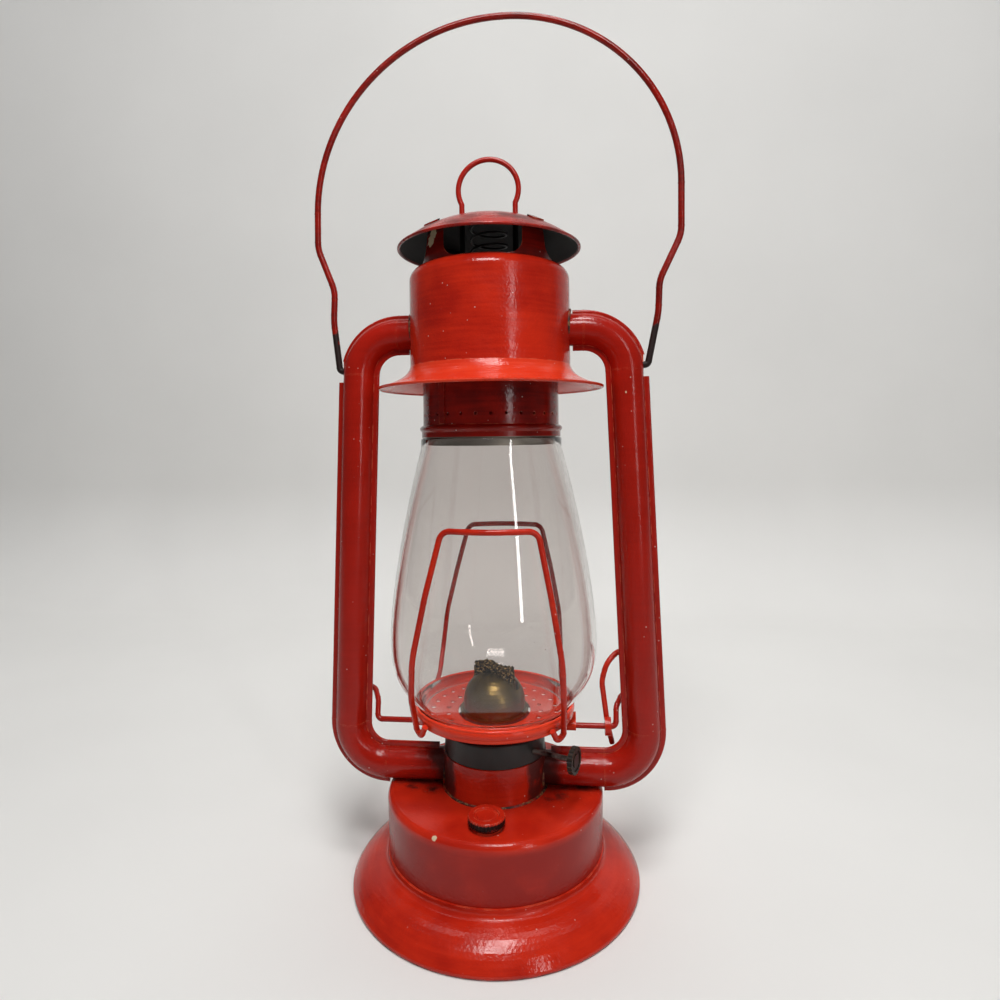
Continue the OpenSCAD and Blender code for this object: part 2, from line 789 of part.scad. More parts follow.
// Strap below the plate whose end is rolled round the crossbar
module crossbar_eye() {
    hole_r = wire_r + joint_band + run_gap;
    eye_r = hole_r + 0.7 * wire_r;
    difference() {
        union() {
            translate([-ear_l / 2, 0, crossbar_z])
                rotate([0, 90, 0]) cylinder(h = ear_l, r = eye_r);
            translate([-ear_l / 2, -0.5, crossbar_z])
                cube([ear_l, 1, crossbar_drop - sheet_t]);
        }
        translate([-ear_l, 0, crossbar_z])
            rotate([0, 90, 0]) cylinder(h = 2 * ear_l, r = hole_r);
    }
}

// Wire bar that carries the plate: it passes behind the burner, and its ends hook behind the tubes
module crossbar() {
    z = crossbar_z;
    reach = tube_r + seam_w + wire_r;
    round_r = band_r + wire_r + crossbar_room;
    behind = tube_r + 2.3 * wire_r;
    top = z + crossbar_rise;
    turn = z + 0.86 * crossbar_rise;
    half = [[tube_x(top), behind, top],
        [tube_x(turn) - reach + 1.85 * wire_r, behind - wire_r, turn],
        [tube_x(z) - reach - 0.9 * wire_r, 2.5 * wire_r, z + 0.6 * crossbar_rise],
        [tube_x(z) - reach - 1.2 * wire_r, 0, z],
        [round_r, 0, z],
        [round_r * 0.85, round_r * 0.62, z]];
    left = [for (p = half) [-p.x, p.y, p.z]];
    path = concat(left, [[0, round_r, z]], reversed(half));
    bends = [4, 4, 2.5, 6, 12, 18, 12, 6, 2.5, 4, 4];
    color(red) wire(path, wire_r, bends);
}

// Point of a guard beside the globe, x from the middle at height z
guard_gap = 2;
function guard_point(x, z) =
    let (r = globe_at(z) + wire_r + guard_gap)
    [x, -sqrt(r * r - x * x), z];

// Wire loop round the globe whose ends curl under the plate's rim and up again on its face.
// A hook's points are angles round the rim and heights from the plate
module guard(top_h) {
    hook_r = plate_rim_r + rim_bulge + wire_r + seat_gap;
    hook = [[45, 2], [41, -2.8], [34, -2.8]];
    top_z = plate_z + top_h;
    bar = guard_point(0, top_z);
    side = [each [for (h = hook) [hook_r * cos(h.x), -hook_r * sin(h.x), plate_z + h.y]],
        guard_point(guard_wide_w, plate_z + globe_wide_h * 0.5),
        guard_point(guard_wide_w - 1, globe_wide_z),
        guard_point((guard_top_w + guard_wide_w) / 2, (globe_wide_z + top_z) / 2),
        guard_point(guard_top_w, top_z)];
    right = [for (p = side) p + [guard_lean * max(p.z - plate_z, 0) / top_h, 0, 0]];
    left = [for (p = side) [guard_lean * max(p.z - plate_z, 0) / top_h - p.x, p.y, p.z]];
    path = concat(left, [bar + [guard_lean, -0.3, 0]], reversed(right));
    bends = [1.9, 1.9, 14, 40, 60, 5, 40, 5, 60, 40, 14, 1.9, 1.9];
    wire(path, wire_r, bends);
}

module front_guard() {
    color(red) guard(front_guard_h);
}

module rear_guard() {
    color(red) mirror([0, 1, 0]) guard(rear_guard_h);
}

// Wire lever with an eye round the crossbar; its top rests behind the right tube
module lift_lever() {
    z = crossbar_z;
    eye_r = 2 * wire_r + joint_band + run_gap;
    eye_wall = wire_r + 0.15;
    x = tube_x(z) - tube_r - seam_w - wire_r - lever_room;
    top = z + lever_rise;
    behind = tube_r + 2.2 * wire_r;
    path = [[x + 1.8 * wire_r, eye_r + 2.7 * wire_r, z - 0.31 * lever_rise],
        [x, eye_r, z],
        [x - 1.9 * wire_r, eye_r, z + 0.6 * lever_rise],
        [x, eye_r + 0.4 * wire_r, z + 0.86 * lever_rise],
        [x + 3.7 * wire_r, eye_r + 3 * wire_r, z + 0.97 * lever_rise],
        [tube_x(top) - 3 * wire_r, behind, top]];
    color(red)
        difference() {
            union() {
                wire(path, wire_r, [5, 14, 10, 5]);
                translate([x - eye_wall, 0, z])
                    rotate([0, 90, 0]) cylinder(h = 2 * eye_wall, r = eye_r + eye_wall);
            }
            translate([x - 2 * eye_wall, 0, z])
                rotate([0, 90, 0]) cylinder(h = 4 * eye_wall, r = wire_r + joint_band + run_gap);
        }
}

// Glass globe, swelling low down and drawn in to a straight mouth
module globe() {
    steps = 24;
    foot = plate_z + seat_gap / 2;
    swell = plate_z + globe_ring_h;
    heights = [for (i = [0 : steps]) swell + (globe_top_z - globe_lip_h - swell) * i / steps];
    path = concat([[globe_foot_r, foot]], [for (z = heights) [globe_at(z), z]],
        [[globe_mouth_r, globe_top_z]]);
    color("#d9e2e2", 0.35) spun(path, glass_t);
}

// Chimney

// Collar that seats on the globe's mouth: a spigot inside the glass, a bead and a row of air holes
collar_foot_z = globe_top_z + seat_gap;
module chimney_collar() {
    spigot_r = globe_mouth_r - glass_t - 0.6;
    lip_r = globe_mouth_r - 0.5;
    spigot_h = 4;
    lip_top = collar_foot_z + 2.6;
    bead_mid = collar_foot_z + 4.2;
    bead_top = collar_foot_z + 6;
    hole_z = collar_foot_z + 10.8;
    path = concat([[spigot_r, collar_foot_z - spigot_h], [spigot_r, collar_foot_z], [lip_r, collar_foot_z],
        [lip_r, lip_top]],
        arc([lip_r - 0.4, bead_mid], 1.3, -40, 60, 5),
        [[collar_r, bead_top], [collar_r, collar_foot_z + collar_h]]);
    holes = 30;
    color(red) {
        difference() {
            spun(path, collar_t);
            for (i = [1 : holes]) {
                rotate(360 * i / holes)
                    translate([collar_r - 2 * collar_t, 0, hole_z])
                        rotate([0, 90, 0]) cylinder(h = 4 * collar_t, r = collar_hole_r);
            }
        }
        // Lap where the sheet's two ends meet
        rotate(231)
            translate([0, 0, bead_top + 0.5])
                rotate_extrude(angle = 6)
                    translate([collar_r - collar_t / 2, 0]) square([collar_t / 2 + 0.5, collar_h - 7]);
    }
}

// Strap across the collar that the pull ring's legs are riveted to
bridge_t = 1.2;
bridge_w = 10;
bridge_z = collar_foot_z + collar_h - 6;
module chimney_bridge() {
    inner_r = collar_r - collar_t;
    color(steel)
        difference() {
            intersection() {
                translate([-collar_r, -bridge_w / 2, bridge_z - 4])
                    cube([2 * collar_r, bridge_w, 4 + bridge_t]);
                translate([0, 0, bridge_z - 5]) cylinder(h = 10, r = inner_r);
            }
            translate([0, 0, bridge_z - 5]) cylinder(h = 5, r = inner_r - bridge_t);
            for (s = [-1, 1]) {
                translate([s * ring_leg_x, 0, bridge_z - 1]) cylinder(h = 4, r = wire_r);
            }
        }
}

// Ring above the rain cap, on two legs that pass down through it to the bridge
module pull_ring() {
    half_open = acos(ring_leg_x / ring_r);
    leg_top = ring_z - ring_r * sin(half_open);
    head_t = 1.2;
    color(red) {
        translate([0, 0, ring_z])
            rotate([90, 0, 0])
                rotate(-half_open)
                    rotate_extrude(angle = 180 + 2 * half_open)
                        translate([ring_r, 0]) circle(wire_r);
        for (s = [-1, 1]) {
            translate([s * ring_leg_x, 0, bridge_z]) cylinder(h = leg_top - bridge_z, r = wire_r);
            translate([s * ring_leg_x, 0, leg_top]) sphere(wire_r);
            translate([s * ring_leg_x, 0, bridge_z - head_t]) cylinder(h = head_t, r = wire_r + 1);
        }
    }
}

// Coil spring between the rain cap and the bridge
spring_low = bridge_z + bridge_t + spring_wire_r + seat_gap;
spring_high = rain_cap_at(spring_r) - sheet_t * 1.1 - spring_wire_r - seat_gap;
coil_sides = 6;
curl_rings = 8;
coil_pitch = (spring_high - spring_low) / spring_curls;
function coil_point(i) =
    let (a = 360 * i / curl_rings)
    [spring_r * cos(a), spring_r * sin(a), spring_low + coil_pitch * i / curl_rings];
function coil_ring(i) =
    let (a = 360 * i / curl_rings)
    let (out = [cos(a), sin(a), 0])
    [for (k = [0 : coil_sides - 1])
        let (b = 360 * k / coil_sides)
        coil_point(i) + spring_wire_r * (cos(b) * out + sin(b) * [0, 0, 1])];
module chimney_spring() {
    last = spring_curls * curl_rings;
    points = [for (i = [0 : last]) each coil_ring(i)];
    walls = [for (i = [0 : last - 1], k = [0 : coil_sides - 1])
        let (a = i * coil_sides + k)
        let (b = i * coil_sides + (k + 1) % coil_sides)
        each [[a, b + coil_sides, a + coil_sides], [a, b, b + coil_sides]]];
    ends = [for (k = [1 : coil_sides - 2])
        each [[0, k + 1, k], let (e = last * coil_sides) [e, e + k, e + k + 1]]];
    // Least distance from the points of one curl to those of the next
    gap = min([for (i = [0 : last - curl_rings], p = coil_ring(i), q = coil_ring(i + curl_rings)) norm(p - q)]);
    echo(least_gap_between_curls = gap);
    color(steel) polyhedron(points, concat(walls, ends));
}

// Canopy

// Canister that the tubes' upper ends open into
module canister() {
    path = concat([[canister_r, canister_z]],
        arc([canister_r - shoulder_r, shoulder_z], shoulder_r, 0, 84, 8));
    color(red)
        difference() {
            spun(path);
            translate([-2 * canister_r, 0, tube_top_z])
                rotate([0, 90, 0]) cylinder(h = 4 * canister_r, r = tube_r);
        }
}

// Flared hood below the canister, with a hemmed edge and a sleeve inside the canister's wall
module canopy_hood() {
    rim = [hood_r, canister_z - hood_drop];
    hem_r = sheet_t * 0.9;
    sleeve_r = canister_r - sheet_t;
    path = concat(reversed(curve([canister_r, canister_z], [canister_r + 1.8, canister_z - 7], rim)),
        [[sleeve_r, canister_z], [sleeve_r, canister_z + 5]]);
    color(red) {
        spun(path);
        hem(rim - [hem_r, sheet_t / 2], hem_r);
    }
}

// Vented crown: a collar in the canister's shoulder and four struts riveted over on the rain cap
crown_top_r = crown_r - 1.6;
tab_a = 10;
module crown() {
    low = shoulder_z - 1;
    window_z = shoulder_z + shoulder_r + 0.3;
    top = rain_cap_at(crown_top_r) - 1.2 * sheet_t;
    window_w = sqrt(2) * crown_r - strut_w;
    root_r = 6.5;
    lay_z = rain_cap_at(crown_top_r + 4) + sheet_t;
    bend_z = rain_cap_at(crown_top_r) + sheet_t;
    path = [[crown_r, low], [crown_r, window_z], [crown_top_r, top]];
    color(red) {
        difference() {
            spun(path);
            for (i = [0 : 3]) {
                rotate(90 * i)
                    translate([0, 0, window_z])
                        rotate([90, 0, 90])
                            linear_extrude(2 * crown_r) window(window_w, 2 * rain_cap_rise, root_r);
            }
        }
        for (i = [0 : 3]) {
            rotate(45 + 90 * i - tab_a / 2)
                rotate_extrude(angle = tab_a)
                    polygon([[crown_top_r - sheet_t, top - 1], [crown_top_r, top - 1],
                        [crown_top_r, bend_z - sheet_t * 0.9], [crown_top_r + 4, lay_z - sheet_t * 0.9],
                        [crown_top_r + 4, lay_z], [crown_top_r - sheet_t, bend_z + 0.4]]);
        }
    }
}

// Opening with rounded lower corners
module window(w, h, r) {
    translate([-w / 2, r]) square([w, h]);
    translate([r - w / 2, 0]) square([w - 2 * r, 2 * r]);
    for (s = [-1, 1]) {
        translate([s * (w / 2 - r), r]) circle(r);
    }
}

// Shallow domed rain cap with a hemmed edge, slots for the struts and holes for the ring's legs
module rain_cap() {
    edge_a = acos(rain_cap_r / rain_cap_arc);
    c = [0, rain_cap_top_z - rain_cap_arc];
    hem_r = sheet_t * 0.9;
    slot_gap = 0.05;
    color(red)
        difference() {
            union() {
                spun(arc(c, rain_cap_arc, edge_a, 90, 10));
                hem([rain_cap_r - hem_r, rain_cap_z], hem_r);
            }
            for (s = [-1, 1]) {
                translate([s * ring_leg_x, 0, rain_cap_z])
                    cylinder(h = 2 * rain_cap_rise, r = wire_r + free_gap);
            }
            for (i = [0 : 3]) {
                rotate(45 + 90 * i - tab_a / 2 - 0.5)
                    translate([0, 0, rain_cap_z])
                        rotate_extrude(angle = tab_a + 1)
                            translate([crown_top_r - sheet_t - slot_gap, 0])
                                square([sheet_t + 2 * slot_gap, 2 * rain_cap_rise]);
            }
        }
}

// Bail

// Wire bail: its ends turn in holes in the tubes, and its legs spread into a round arch
module bail() {
    pin_in = tube_x(bail_z) + tube_r - tube_wall - 2.5;
    foot_x = tube_x(bail_z) + tube_r + 1.4 * bail_wire_r;
    foot_rise = 16 * bail_wire_r;
    leg_x = tube_x(bail_z) + tube_r + seam_w + bail_wire_r + 2.2;
    spread_low = 41;
    spread_high = 63;
    arch_top = bail_arch_up + bail_arch_r;
    skew = bail_arch_r * tan(bail_lean);
    leg = [[pin_in, 0], [foot_x, 0], [leg_x, foot_rise], [leg_x, spread_low],
        [bail_arch_r - 0.5, spread_high], [bail_arch_r, arch_top]];
    right = [for (p = leg) [p.x + min(p.y, bail_arch_up) * tan(bail_lean), 0, bail_z + p.y]];
    left = [for (p = leg) [min(p.y, bail_arch_up) * tan(bail_lean) - p.x, 0, bail_z + p.y]];
    bends = [1.9, 40, 18, 18];
    arch = [bail_arch_r + skew - 1, bail_arch_r - skew - 1];
    color(red) wire(concat(left, reversed(right)), bail_wire_r, concat(bends, arch, reversed(bends)));
}

base_skirt();
tank_floor();
tank_shell();
filler_neck();
filler_gasket();
filler_cap();
air_chamber();
fount_collar();
left_tube_front();
left_tube_rear();
right_tube_front();
right_tube_rear();
burner_base();
burner_collar();
burner_cone();
wick_tube();
wick();
wick_shaft();
spur_wheels();
wick_knob();
globe_plate();
crossbar();
front_guard();
rear_guard();
lift_lever();
globe();
chimney_collar();
chimney_bridge();
pull_ring();
chimney_spring();
canister();
canopy_hood();
crown();
rain_cap();
bail();
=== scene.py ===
"""Finishes the hurricane lantern's pieces and sets it on a plain pale stage."""

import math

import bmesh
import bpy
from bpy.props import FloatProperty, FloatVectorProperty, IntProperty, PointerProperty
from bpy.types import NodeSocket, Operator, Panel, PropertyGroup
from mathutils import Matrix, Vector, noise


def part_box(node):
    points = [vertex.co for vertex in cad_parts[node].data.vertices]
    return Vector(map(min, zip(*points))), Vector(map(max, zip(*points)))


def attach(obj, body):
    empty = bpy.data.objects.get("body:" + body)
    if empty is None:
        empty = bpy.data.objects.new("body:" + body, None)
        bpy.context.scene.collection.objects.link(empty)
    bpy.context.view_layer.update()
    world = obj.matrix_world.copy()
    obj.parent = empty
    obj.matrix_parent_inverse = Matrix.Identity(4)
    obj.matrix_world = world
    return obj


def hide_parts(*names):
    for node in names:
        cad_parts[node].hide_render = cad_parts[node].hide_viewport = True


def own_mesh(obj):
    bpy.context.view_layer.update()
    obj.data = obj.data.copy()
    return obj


bl_info = {
    "name": "Hurricane lantern",
    "version": (1, 0, 0),
    "blender": (4, 5, 0),
    "location": "View3D > Sidebar > Lantern",
    "description": "Finishes a red tubular hurricane lantern and sets it on a plain stage",
    "category": "Object",
}

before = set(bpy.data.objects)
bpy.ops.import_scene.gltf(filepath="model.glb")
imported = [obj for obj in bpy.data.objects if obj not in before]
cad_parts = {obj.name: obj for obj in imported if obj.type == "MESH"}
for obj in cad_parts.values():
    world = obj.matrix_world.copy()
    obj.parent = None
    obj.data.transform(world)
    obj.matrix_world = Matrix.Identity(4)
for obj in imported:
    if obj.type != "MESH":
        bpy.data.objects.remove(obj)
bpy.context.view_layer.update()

MM = 0.001
NOISE_SEED = 1
SENSOR = 36  # sensor width in millimetres that the focal length goes with

# Heights in metres between which heat has marked the burner
SMOKED_BRASS = 0.094, 0.101
CHARRED_COTTON = 0.080, 0.092
# Distances in front of the lantern, in metres, between which the floor turns grey with painted shade, for the
# dark room in front
SHADED_FLOOR = -0.105, -0.32

# Vector noise starts from the clock unless it is given a seed
noise.seed_set(NOISE_SEED)


def linear(code):
    """Linear RGB of an sRGB hex colour."""
    parts = [int(code[i:i + 2], 16) / 255 for i in (1, 3, 5)]
    return tuple(p / 12.92 if p <= 0.04045 else ((p + 0.055) / 1.055) ** 2.4 for p in parts)


def per_mm(size):
    """Texture scale, in features to the metre, for a pattern of so many millimetres."""
    return 1 / (size * MM)


def length(name, description, default):
    """Size property in metres, from a default in millimetres."""
    return FloatProperty(name=name, description=description, default=default * MM, unit="LENGTH")


def colour(name, description, code):
    """Colour property from an sRGB hex value."""
    return FloatVectorProperty(name=name, description=description, subtype="COLOR",
                               default=linear(code), min=0, max=1)


class LanternSizes(PropertyGroup):
    """Sizes of the pieces that are modelled here"""

    globe_foot_radius: length("Globe foot", "Outer radius of the globe's straight foot", 38)
    globe_mouth_radius: length("Globe mouth", "Outer radius of the globe's mouth", 34.9)
    globe_wide_height: length("Globe swell", "Height of the widest place above the plate", 37)
    globe_ring_height: length("Globe ring", "Height of the globe's straight foot", 5.7)
    globe_lip_height: length("Globe lip", "Height of the globe's straight lip", 5)
    glass_thickness: length("Glass", "Thickness of the glass", 2.3)
    foot_bead: length("Foot bead", "Extra thickness of the globe's foot, inside", 1.4)
    wick_width: length("Wick width", "Width of the flat wick", 22)
    wick_thickness: length("Wick thickness", "Thickness of the flat wick", 2.6)
    crust_height: length("Crust", "Height of the charred crust on the wick", 7)
    crust_thickness: length("Crust thickness", "Thickness of the charred crust", 7)
    crust_margin: length("Crust margin", "How much narrower than the wick the crust is", 2.8)
    crust_pressed: FloatProperty(name="Crust pressed", default=0.24,
                                 description="Share of the crust's thickness left when the wick is down")
    burner_turn: FloatProperty(name="Burner turn", description="Turn of the burner round the lantern's axis",
                               default=math.radians(-23), subtype="ANGLE")
    solder: length("Solder", "Radius of a solder fillet", 0.8)
    spring_radius: length("Spring", "Coil radius of the chimney spring", 9)
    spring_wire: length("Spring wire", "Radius of the chimney spring's wire", 0.6)
    spring_curls: IntProperty(name="Curls", description="Curls of the chimney spring", default=12, min=4)


class LanternColours(PropertyGroup):
    """Colours of the finishes"""

    pale_red: colour("Pale red", "Enamel faded by heat and light", "#D03A20")
    red: colour("Red", "Enamel in full light", "#C42A14")
    deep_red: colour("Deep red", "Enamel where it lies thick", "#A01A0E")
    # Dark red, also painted shade on the tank's wall, the crossbar and the rear guard
    dark_red: colour("Dark red", "Enamel that was oiled and handled", "#92170C")
    # Maroon, also painted shade on the chimney collar
    maroon: colour("Maroon", "Enamel browned by the flame", "#4E0C0A")
    # Worn red, also the painted highlight along the enamel's edges
    worn_and_highlit_red: colour("Worn red", "Enamel rubbed thin on edges", "#D96A4C")
    bare_tin: colour("Bare tin", "Tinned sheet where the enamel is gone", "#8B857B")
    primer: colour("Primer", "Pale ground in a chip", "#CDB898")
    # Grime, also laid in the enamel's corners as painted shade
    grime_and_shade: colour("Grime", "Oil and soot in the corners", "#1E0C09")
    # Soot, also painted shade under the rain cap and on the crown's inner face
    soot_and_shade: colour("Soot", "Black inside the canopy", "#0B0908")
    black: colour("Black", "Lacquer of the burner and the knob", "#180F0C")
    brass: colour("Brass", "Browned brass", "#604E27")
    brass_stain: colour("Brass stain", "Heat stain on the brass", "#4A3A22")
    rust: colour("Rust", "Rusty dirt along a joint", "#7A5634")
    steel: colour("Steel", "Spring and strap steel", "#7C7973")
    char: colour("Char", "Burnt cotton", "#120D0A")
    ash: colour("Ash", "Brown crumbs of the burnt cotton", "#9A7C50")
    cotton: colour("Cotton", "Oil-soaked cotton", "#8F8266")
    glass: colour("Glass", "Tint of the globe", "#ECE8E6")
    dust: colour("Dust", "Specks of dust", "#D9CFC6")
    fly_speck: colour("Fly speck", "Dark specks on the glass", "#5B534C")
    rubber: colour("Rubber", "Washer in the filler cap", "#1A1918")
    floor: colour("Floor", "Floor and backdrop", "#E9E8E5")
    floor_shade: colour("Floor shade", "Cloudy places of the floor", "#DFDEDB")
    # Painted shade: the floor greys to this in front of the lantern
    floor_front_shade: colour("Floor end", "Grey end of the graded sweep, in front", "#B0AFAC")


class LanternStage(PropertyGroup):
    """Camera and light"""

    camera_distance: FloatProperty(name="Distance", description="Camera to the lantern's axis",
                                   default=0.333, unit="LENGTH")
    camera_height: FloatProperty(name="Height", description="Camera above the floor",
                                 default=0.2154, unit="LENGTH")
    camera_turn: FloatProperty(name="Turn", description="Camera's turn from the front",
                               default=math.radians(6), subtype="ANGLE")
    camera_roll: FloatProperty(name="Roll", description="Camera's tilt about its line of sight",
                               default=math.radians(0.69), subtype="ANGLE")
    lens: FloatProperty(name="Lens", description="Focal length on a 36 mm sensor", default=24.0)
    shift_x: FloatProperty(name="Shift X", description="Sideways shift of the frame", default=0.0088)
    shift_y: FloatProperty(name="Shift Y", description="Upward shift of the frame", default=-0.0634)
    backdrop: FloatProperty(name="Backdrop", description="Distance of the backdrop behind the lantern",
                            default=0.6, unit="LENGTH")


def sizes():
    """Sizes set in the scene."""
    return bpy.context.scene.lantern_sizes


def colours():
    """Colours set in the scene."""
    return bpy.context.scene.lantern_colours


# Materials

def add(tree, kind, links=None, **settings):
    """Adds a node with its settings. An input given a socket is linked, and any other is set."""
    made = tree.nodes.new(kind)
    for name, value in settings.items():
        setattr(made, name, value)
    for key, value in (links or {}).items():
        if isinstance(value, NodeSocket):
            tree.links.new(value, made.inputs[key])
        else:
            made.inputs[key].default_value = value
    return made


def rgba(value):
    """Opaque colour for a socket."""
    return (*value, 1)


def blank(name):
    """A new material's node tree, with its object coordinates."""
    made = bpy.data.materials.new(name)
    made.use_nodes = True
    made.node_tree.nodes.clear()
    place = add(made.node_tree, "ShaderNodeTexCoord").outputs["Object"]
    return made, made.node_tree, place


def shaded(tree, **sockets):
    """Ends a tree with a principled shader; names have underscores for spaces."""
    links = {name.replace("_", " "): value for name, value in sockets.items()}
    shader = add(tree, "ShaderNodeBsdfPrincipled", links)
    add(tree, "ShaderNodeOutputMaterial", {"Surface": shader.outputs[0]})


def mottle(tree, place, size, detail=3, stretch=None):
    """Noise from 0 to 1 with features of so many millimetres, stretched along each axis."""
    if stretch:
        place = add(tree, "ShaderNodeMapping", {"Vector": place, "Scale": stretch}).outputs[0]
    links = {"Vector": place, "Scale": per_mm(size), "Detail": detail}
    return add(tree, "ShaderNodeTexNoise", links).outputs[0]


def ramp(tree, value, low, high):
    """0 below low, 1 above high, smooth between them; high may be the smaller."""
    links = {"Value": value, "From Min": low, "From Max": high}
    return add(tree, "ShaderNodeMapRange", links, interpolation_type="SMOOTHSTEP").outputs[0]


def math_of(tree, operation, *terms):
    """Result of an operation on numbers or sockets, kept between 0 and 1."""
    return add(tree, "ShaderNodeMath", dict(enumerate(terms)), operation=operation, use_clamp=True).outputs[0]


def times(tree, a, b):
    """Product of two masks."""
    return math_of(tree, "MULTIPLY", a, b)


def bumped(tree, pattern, strength, depth, **below):
    """Normal with a pattern raised by a depth in millimetres, over the normal below if one is given."""
    links = {"Height": pattern, "Strength": strength, "Distance": depth * MM, **below}
    return add(tree, "ShaderNodeBump", links).outputs[0]


def dots(tree, place, gap, wide, small):
    """Round dots some millimetres apart, fading between two shares of the gap."""
    cells = add(tree, "ShaderNodeTexVoronoi", {"Vector": place, "Scale": per_mm(gap)}).outputs["Distance"]
    return ramp(tree, cells, wide, small)


def over(tree, mask, below, above):
    """Colour above laid on the colour below where the mask is 1."""
    return add(tree, "ShaderNodeMix", {0: mask, 6: below, 7: above}, data_type="RGBA").outputs[2]


def between(tree, mask, low, high):
    """Number that goes from low to high with the mask."""
    return add(tree, "ShaderNodeMix", {0: mask, 2: low, 3: high}).outputs[0]


def edges(tree, radius):
    """1 on edges sharper than a radius in millimetres."""
    rounded = add(tree, "ShaderNodeBevel", {"Radius": radius * MM}, samples=6).outputs[0]
    normal = add(tree, "ShaderNodeNewGeometry").outputs["Normal"]
    dot = add(tree, "ShaderNodeVectorMath", {0: rounded, 1: normal}, operation="DOT_PRODUCT").outputs["Value"]
    return ramp(tree, dot, 0.985, 0.86)


def corner_shade(tree, reach):
    """1 in corners that are closed within so many millimetres: an occlusion mask, which marks where shade
    falls.
    """
    occlusion = add(tree, "ShaderNodeAmbientOcclusion", {"Distance": reach * MM}, samples=8)
    return ramp(tree, occlusion.outputs["AO"], 0.62, 0.12)


def height(tree, place):
    """Height above the floor."""
    return add(tree, "ShaderNodeSeparateXYZ", {0: place}).outputs["Z"]


def from_axis(tree, place, centre=(0, 0)):
    """Distance from the upright line through a point."""
    flat = add(tree, "ShaderNodeVectorMath", {0: place, 1: (1, 1, 0)}, operation="MULTIPLY").outputs[0]
    links = {0: flat, 1: (centre[0], centre[1], 0)}
    return add(tree, "ShaderNodeVectorMath", links, operation="DISTANCE").outputs["Value"]


def facing_down(tree):
    """1 on faces that look down."""
    normal = add(tree, "ShaderNodeNewGeometry").outputs["Normal"]
    return ramp(tree, add(tree, "ShaderNodeSeparateXYZ", {0: normal}).outputs["Z"], -0.05, -0.3)


def chips(spots, grain=1.5, fade=0.2):
    """Layer mask with a ragged spot at each point, given in millimetres with its radius. Grain is the size of
    the rags, and a larger fade softens them."""
    def mask(tree, place):
        ragged = mottle(tree, place, grain)
        total = None
        for x, y, z, radius in spots:
            links = {0: place, 1: (x * MM, y * MM, z * MM)}
            away = add(tree, "ShaderNodeVectorMath", links, operation="DISTANCE").outputs["Value"]
            near = ramp(tree, away, radius * MM * 1.5, 0)
            spot = ramp(tree, times(tree, near, ragged), 0.16, fade)
            total = spot if total is None else math_of(tree, "MAXIMUM", total, spot)
        return total
    return mask


def red_enamel(name, thick, thin, layers=(), grime_and_shade=0.75, wear_and_highlight=0.6):
    """Red stoving enamel, dipped over tinned sheet: a thick gloss coat with a fine orange-peel skin,
    drawn sideways where it was rubbed down, thin and paler on the edges (wear and painted highlight),
    with oil grime and painted shade in the corners. Thick and thin are the paint's colours where it lies so.
    Each layer is a mask, colour, roughness and metallic share, laid over the paint in order. The last two
    arguments are the strengths of the corner grime and painted shade, and of the edge wear and painted
    highlight."""
    c = colours()
    made, tree, place = blank(name)
    clouds = mottle(tree, place, 22)
    strokes = mottle(tree, place, 1.6, stretch=(0.07, 0.07, 1))
    depth = math_of(tree, "MULTIPLY_ADD", strokes, 0.35, times(tree, clouds, 0.75))
    paint = over(tree, ramp(tree, depth, 0.3, 0.75), rgba(thick), rgba(thin))
    gloss = between(tree, ramp(tree, mottle(tree, place, 9), 0.35, 0.7), 0.15, 0.26)

    # Edges rubbed thin in a paler red: wear, and a painted highlight along the edges
    worn_and_highlit = times(tree, edges(tree, 0.8), ramp(tree, mottle(tree, place, 5), 0.42, 0.62))
    paint = over(tree, times(tree, worn_and_highlit, wear_and_highlight), paint, rgba(c.worn_and_highlit_red))
    specks = times(tree, dots(tree, place, 4.5, 0.09, 0.05), ramp(tree, mottle(tree, place, 14), 0.5, 0.6))
    paint = over(tree, times(tree, specks, 0.5), paint, rgba(c.dust))
    # Oil grime and painted shade: the occlusion mask darkens corners and joints where shade falls, in mottled
    # patches
    dirty = times(tree, corner_shade(tree, 7), ramp(tree, mottle(tree, place, 6), 0.3, 0.65))
    paint = over(tree, times(tree, dirty, grime_and_shade), paint, rgba(c.grime_and_shade))
    gloss = between(tree, dirty, gloss, 0.6)
    metal = 0.0
    for mask, coat, rough, metallic in layers:
        there = mask(tree, place)
        paint = over(tree, there, paint, rgba(coat))
        gloss = between(tree, there, gloss, rough)
        metal = between(tree, there, metal, metallic)
    # Orange peel of a dipped coat is about half a millimetre; it is drawn at 1.3 mm so that it shows
    peel = mottle(tree, place, 1.3, detail=1)
    rubbed = bumped(tree, strokes, 0.12, 0.3, Normal=bumped(tree, peel, 0.38, 0.25))
    shaded(tree, Base_Color=paint, Roughness=gloss, Metallic=metal, Normal=rubbed, Specular_IOR_Level=0.28)
    return made


def black_lacquer(name):
    """Black stoving lacquer, dulled by heat and handling, with brown metal showing on rubbed edges."""
    c = colours()
    made, tree, place = blank(name)
    bare = times(tree, edges(tree, 0.5), ramp(tree, mottle(tree, place, 2.5), 0.35, 0.6))
    smoke = over(tree, ramp(tree, mottle(tree, place, 6), 0.35, 0.7), rgba(c.soot_and_shade), rgba(c.black))
    paint = over(tree, times(tree, bare, 0.7), smoke, rgba(c.brass))
    gloss = between(tree, mottle(tree, place, 3), 0.3, 0.6)
    skin = bumped(tree, mottle(tree, place, 0.8), 0.2, 0.2)
    metal = times(tree, bare, 0.8)
    shaded(tree, Base_Color=paint, Roughness=gloss, Metallic=metal, Normal=skin)
    return made


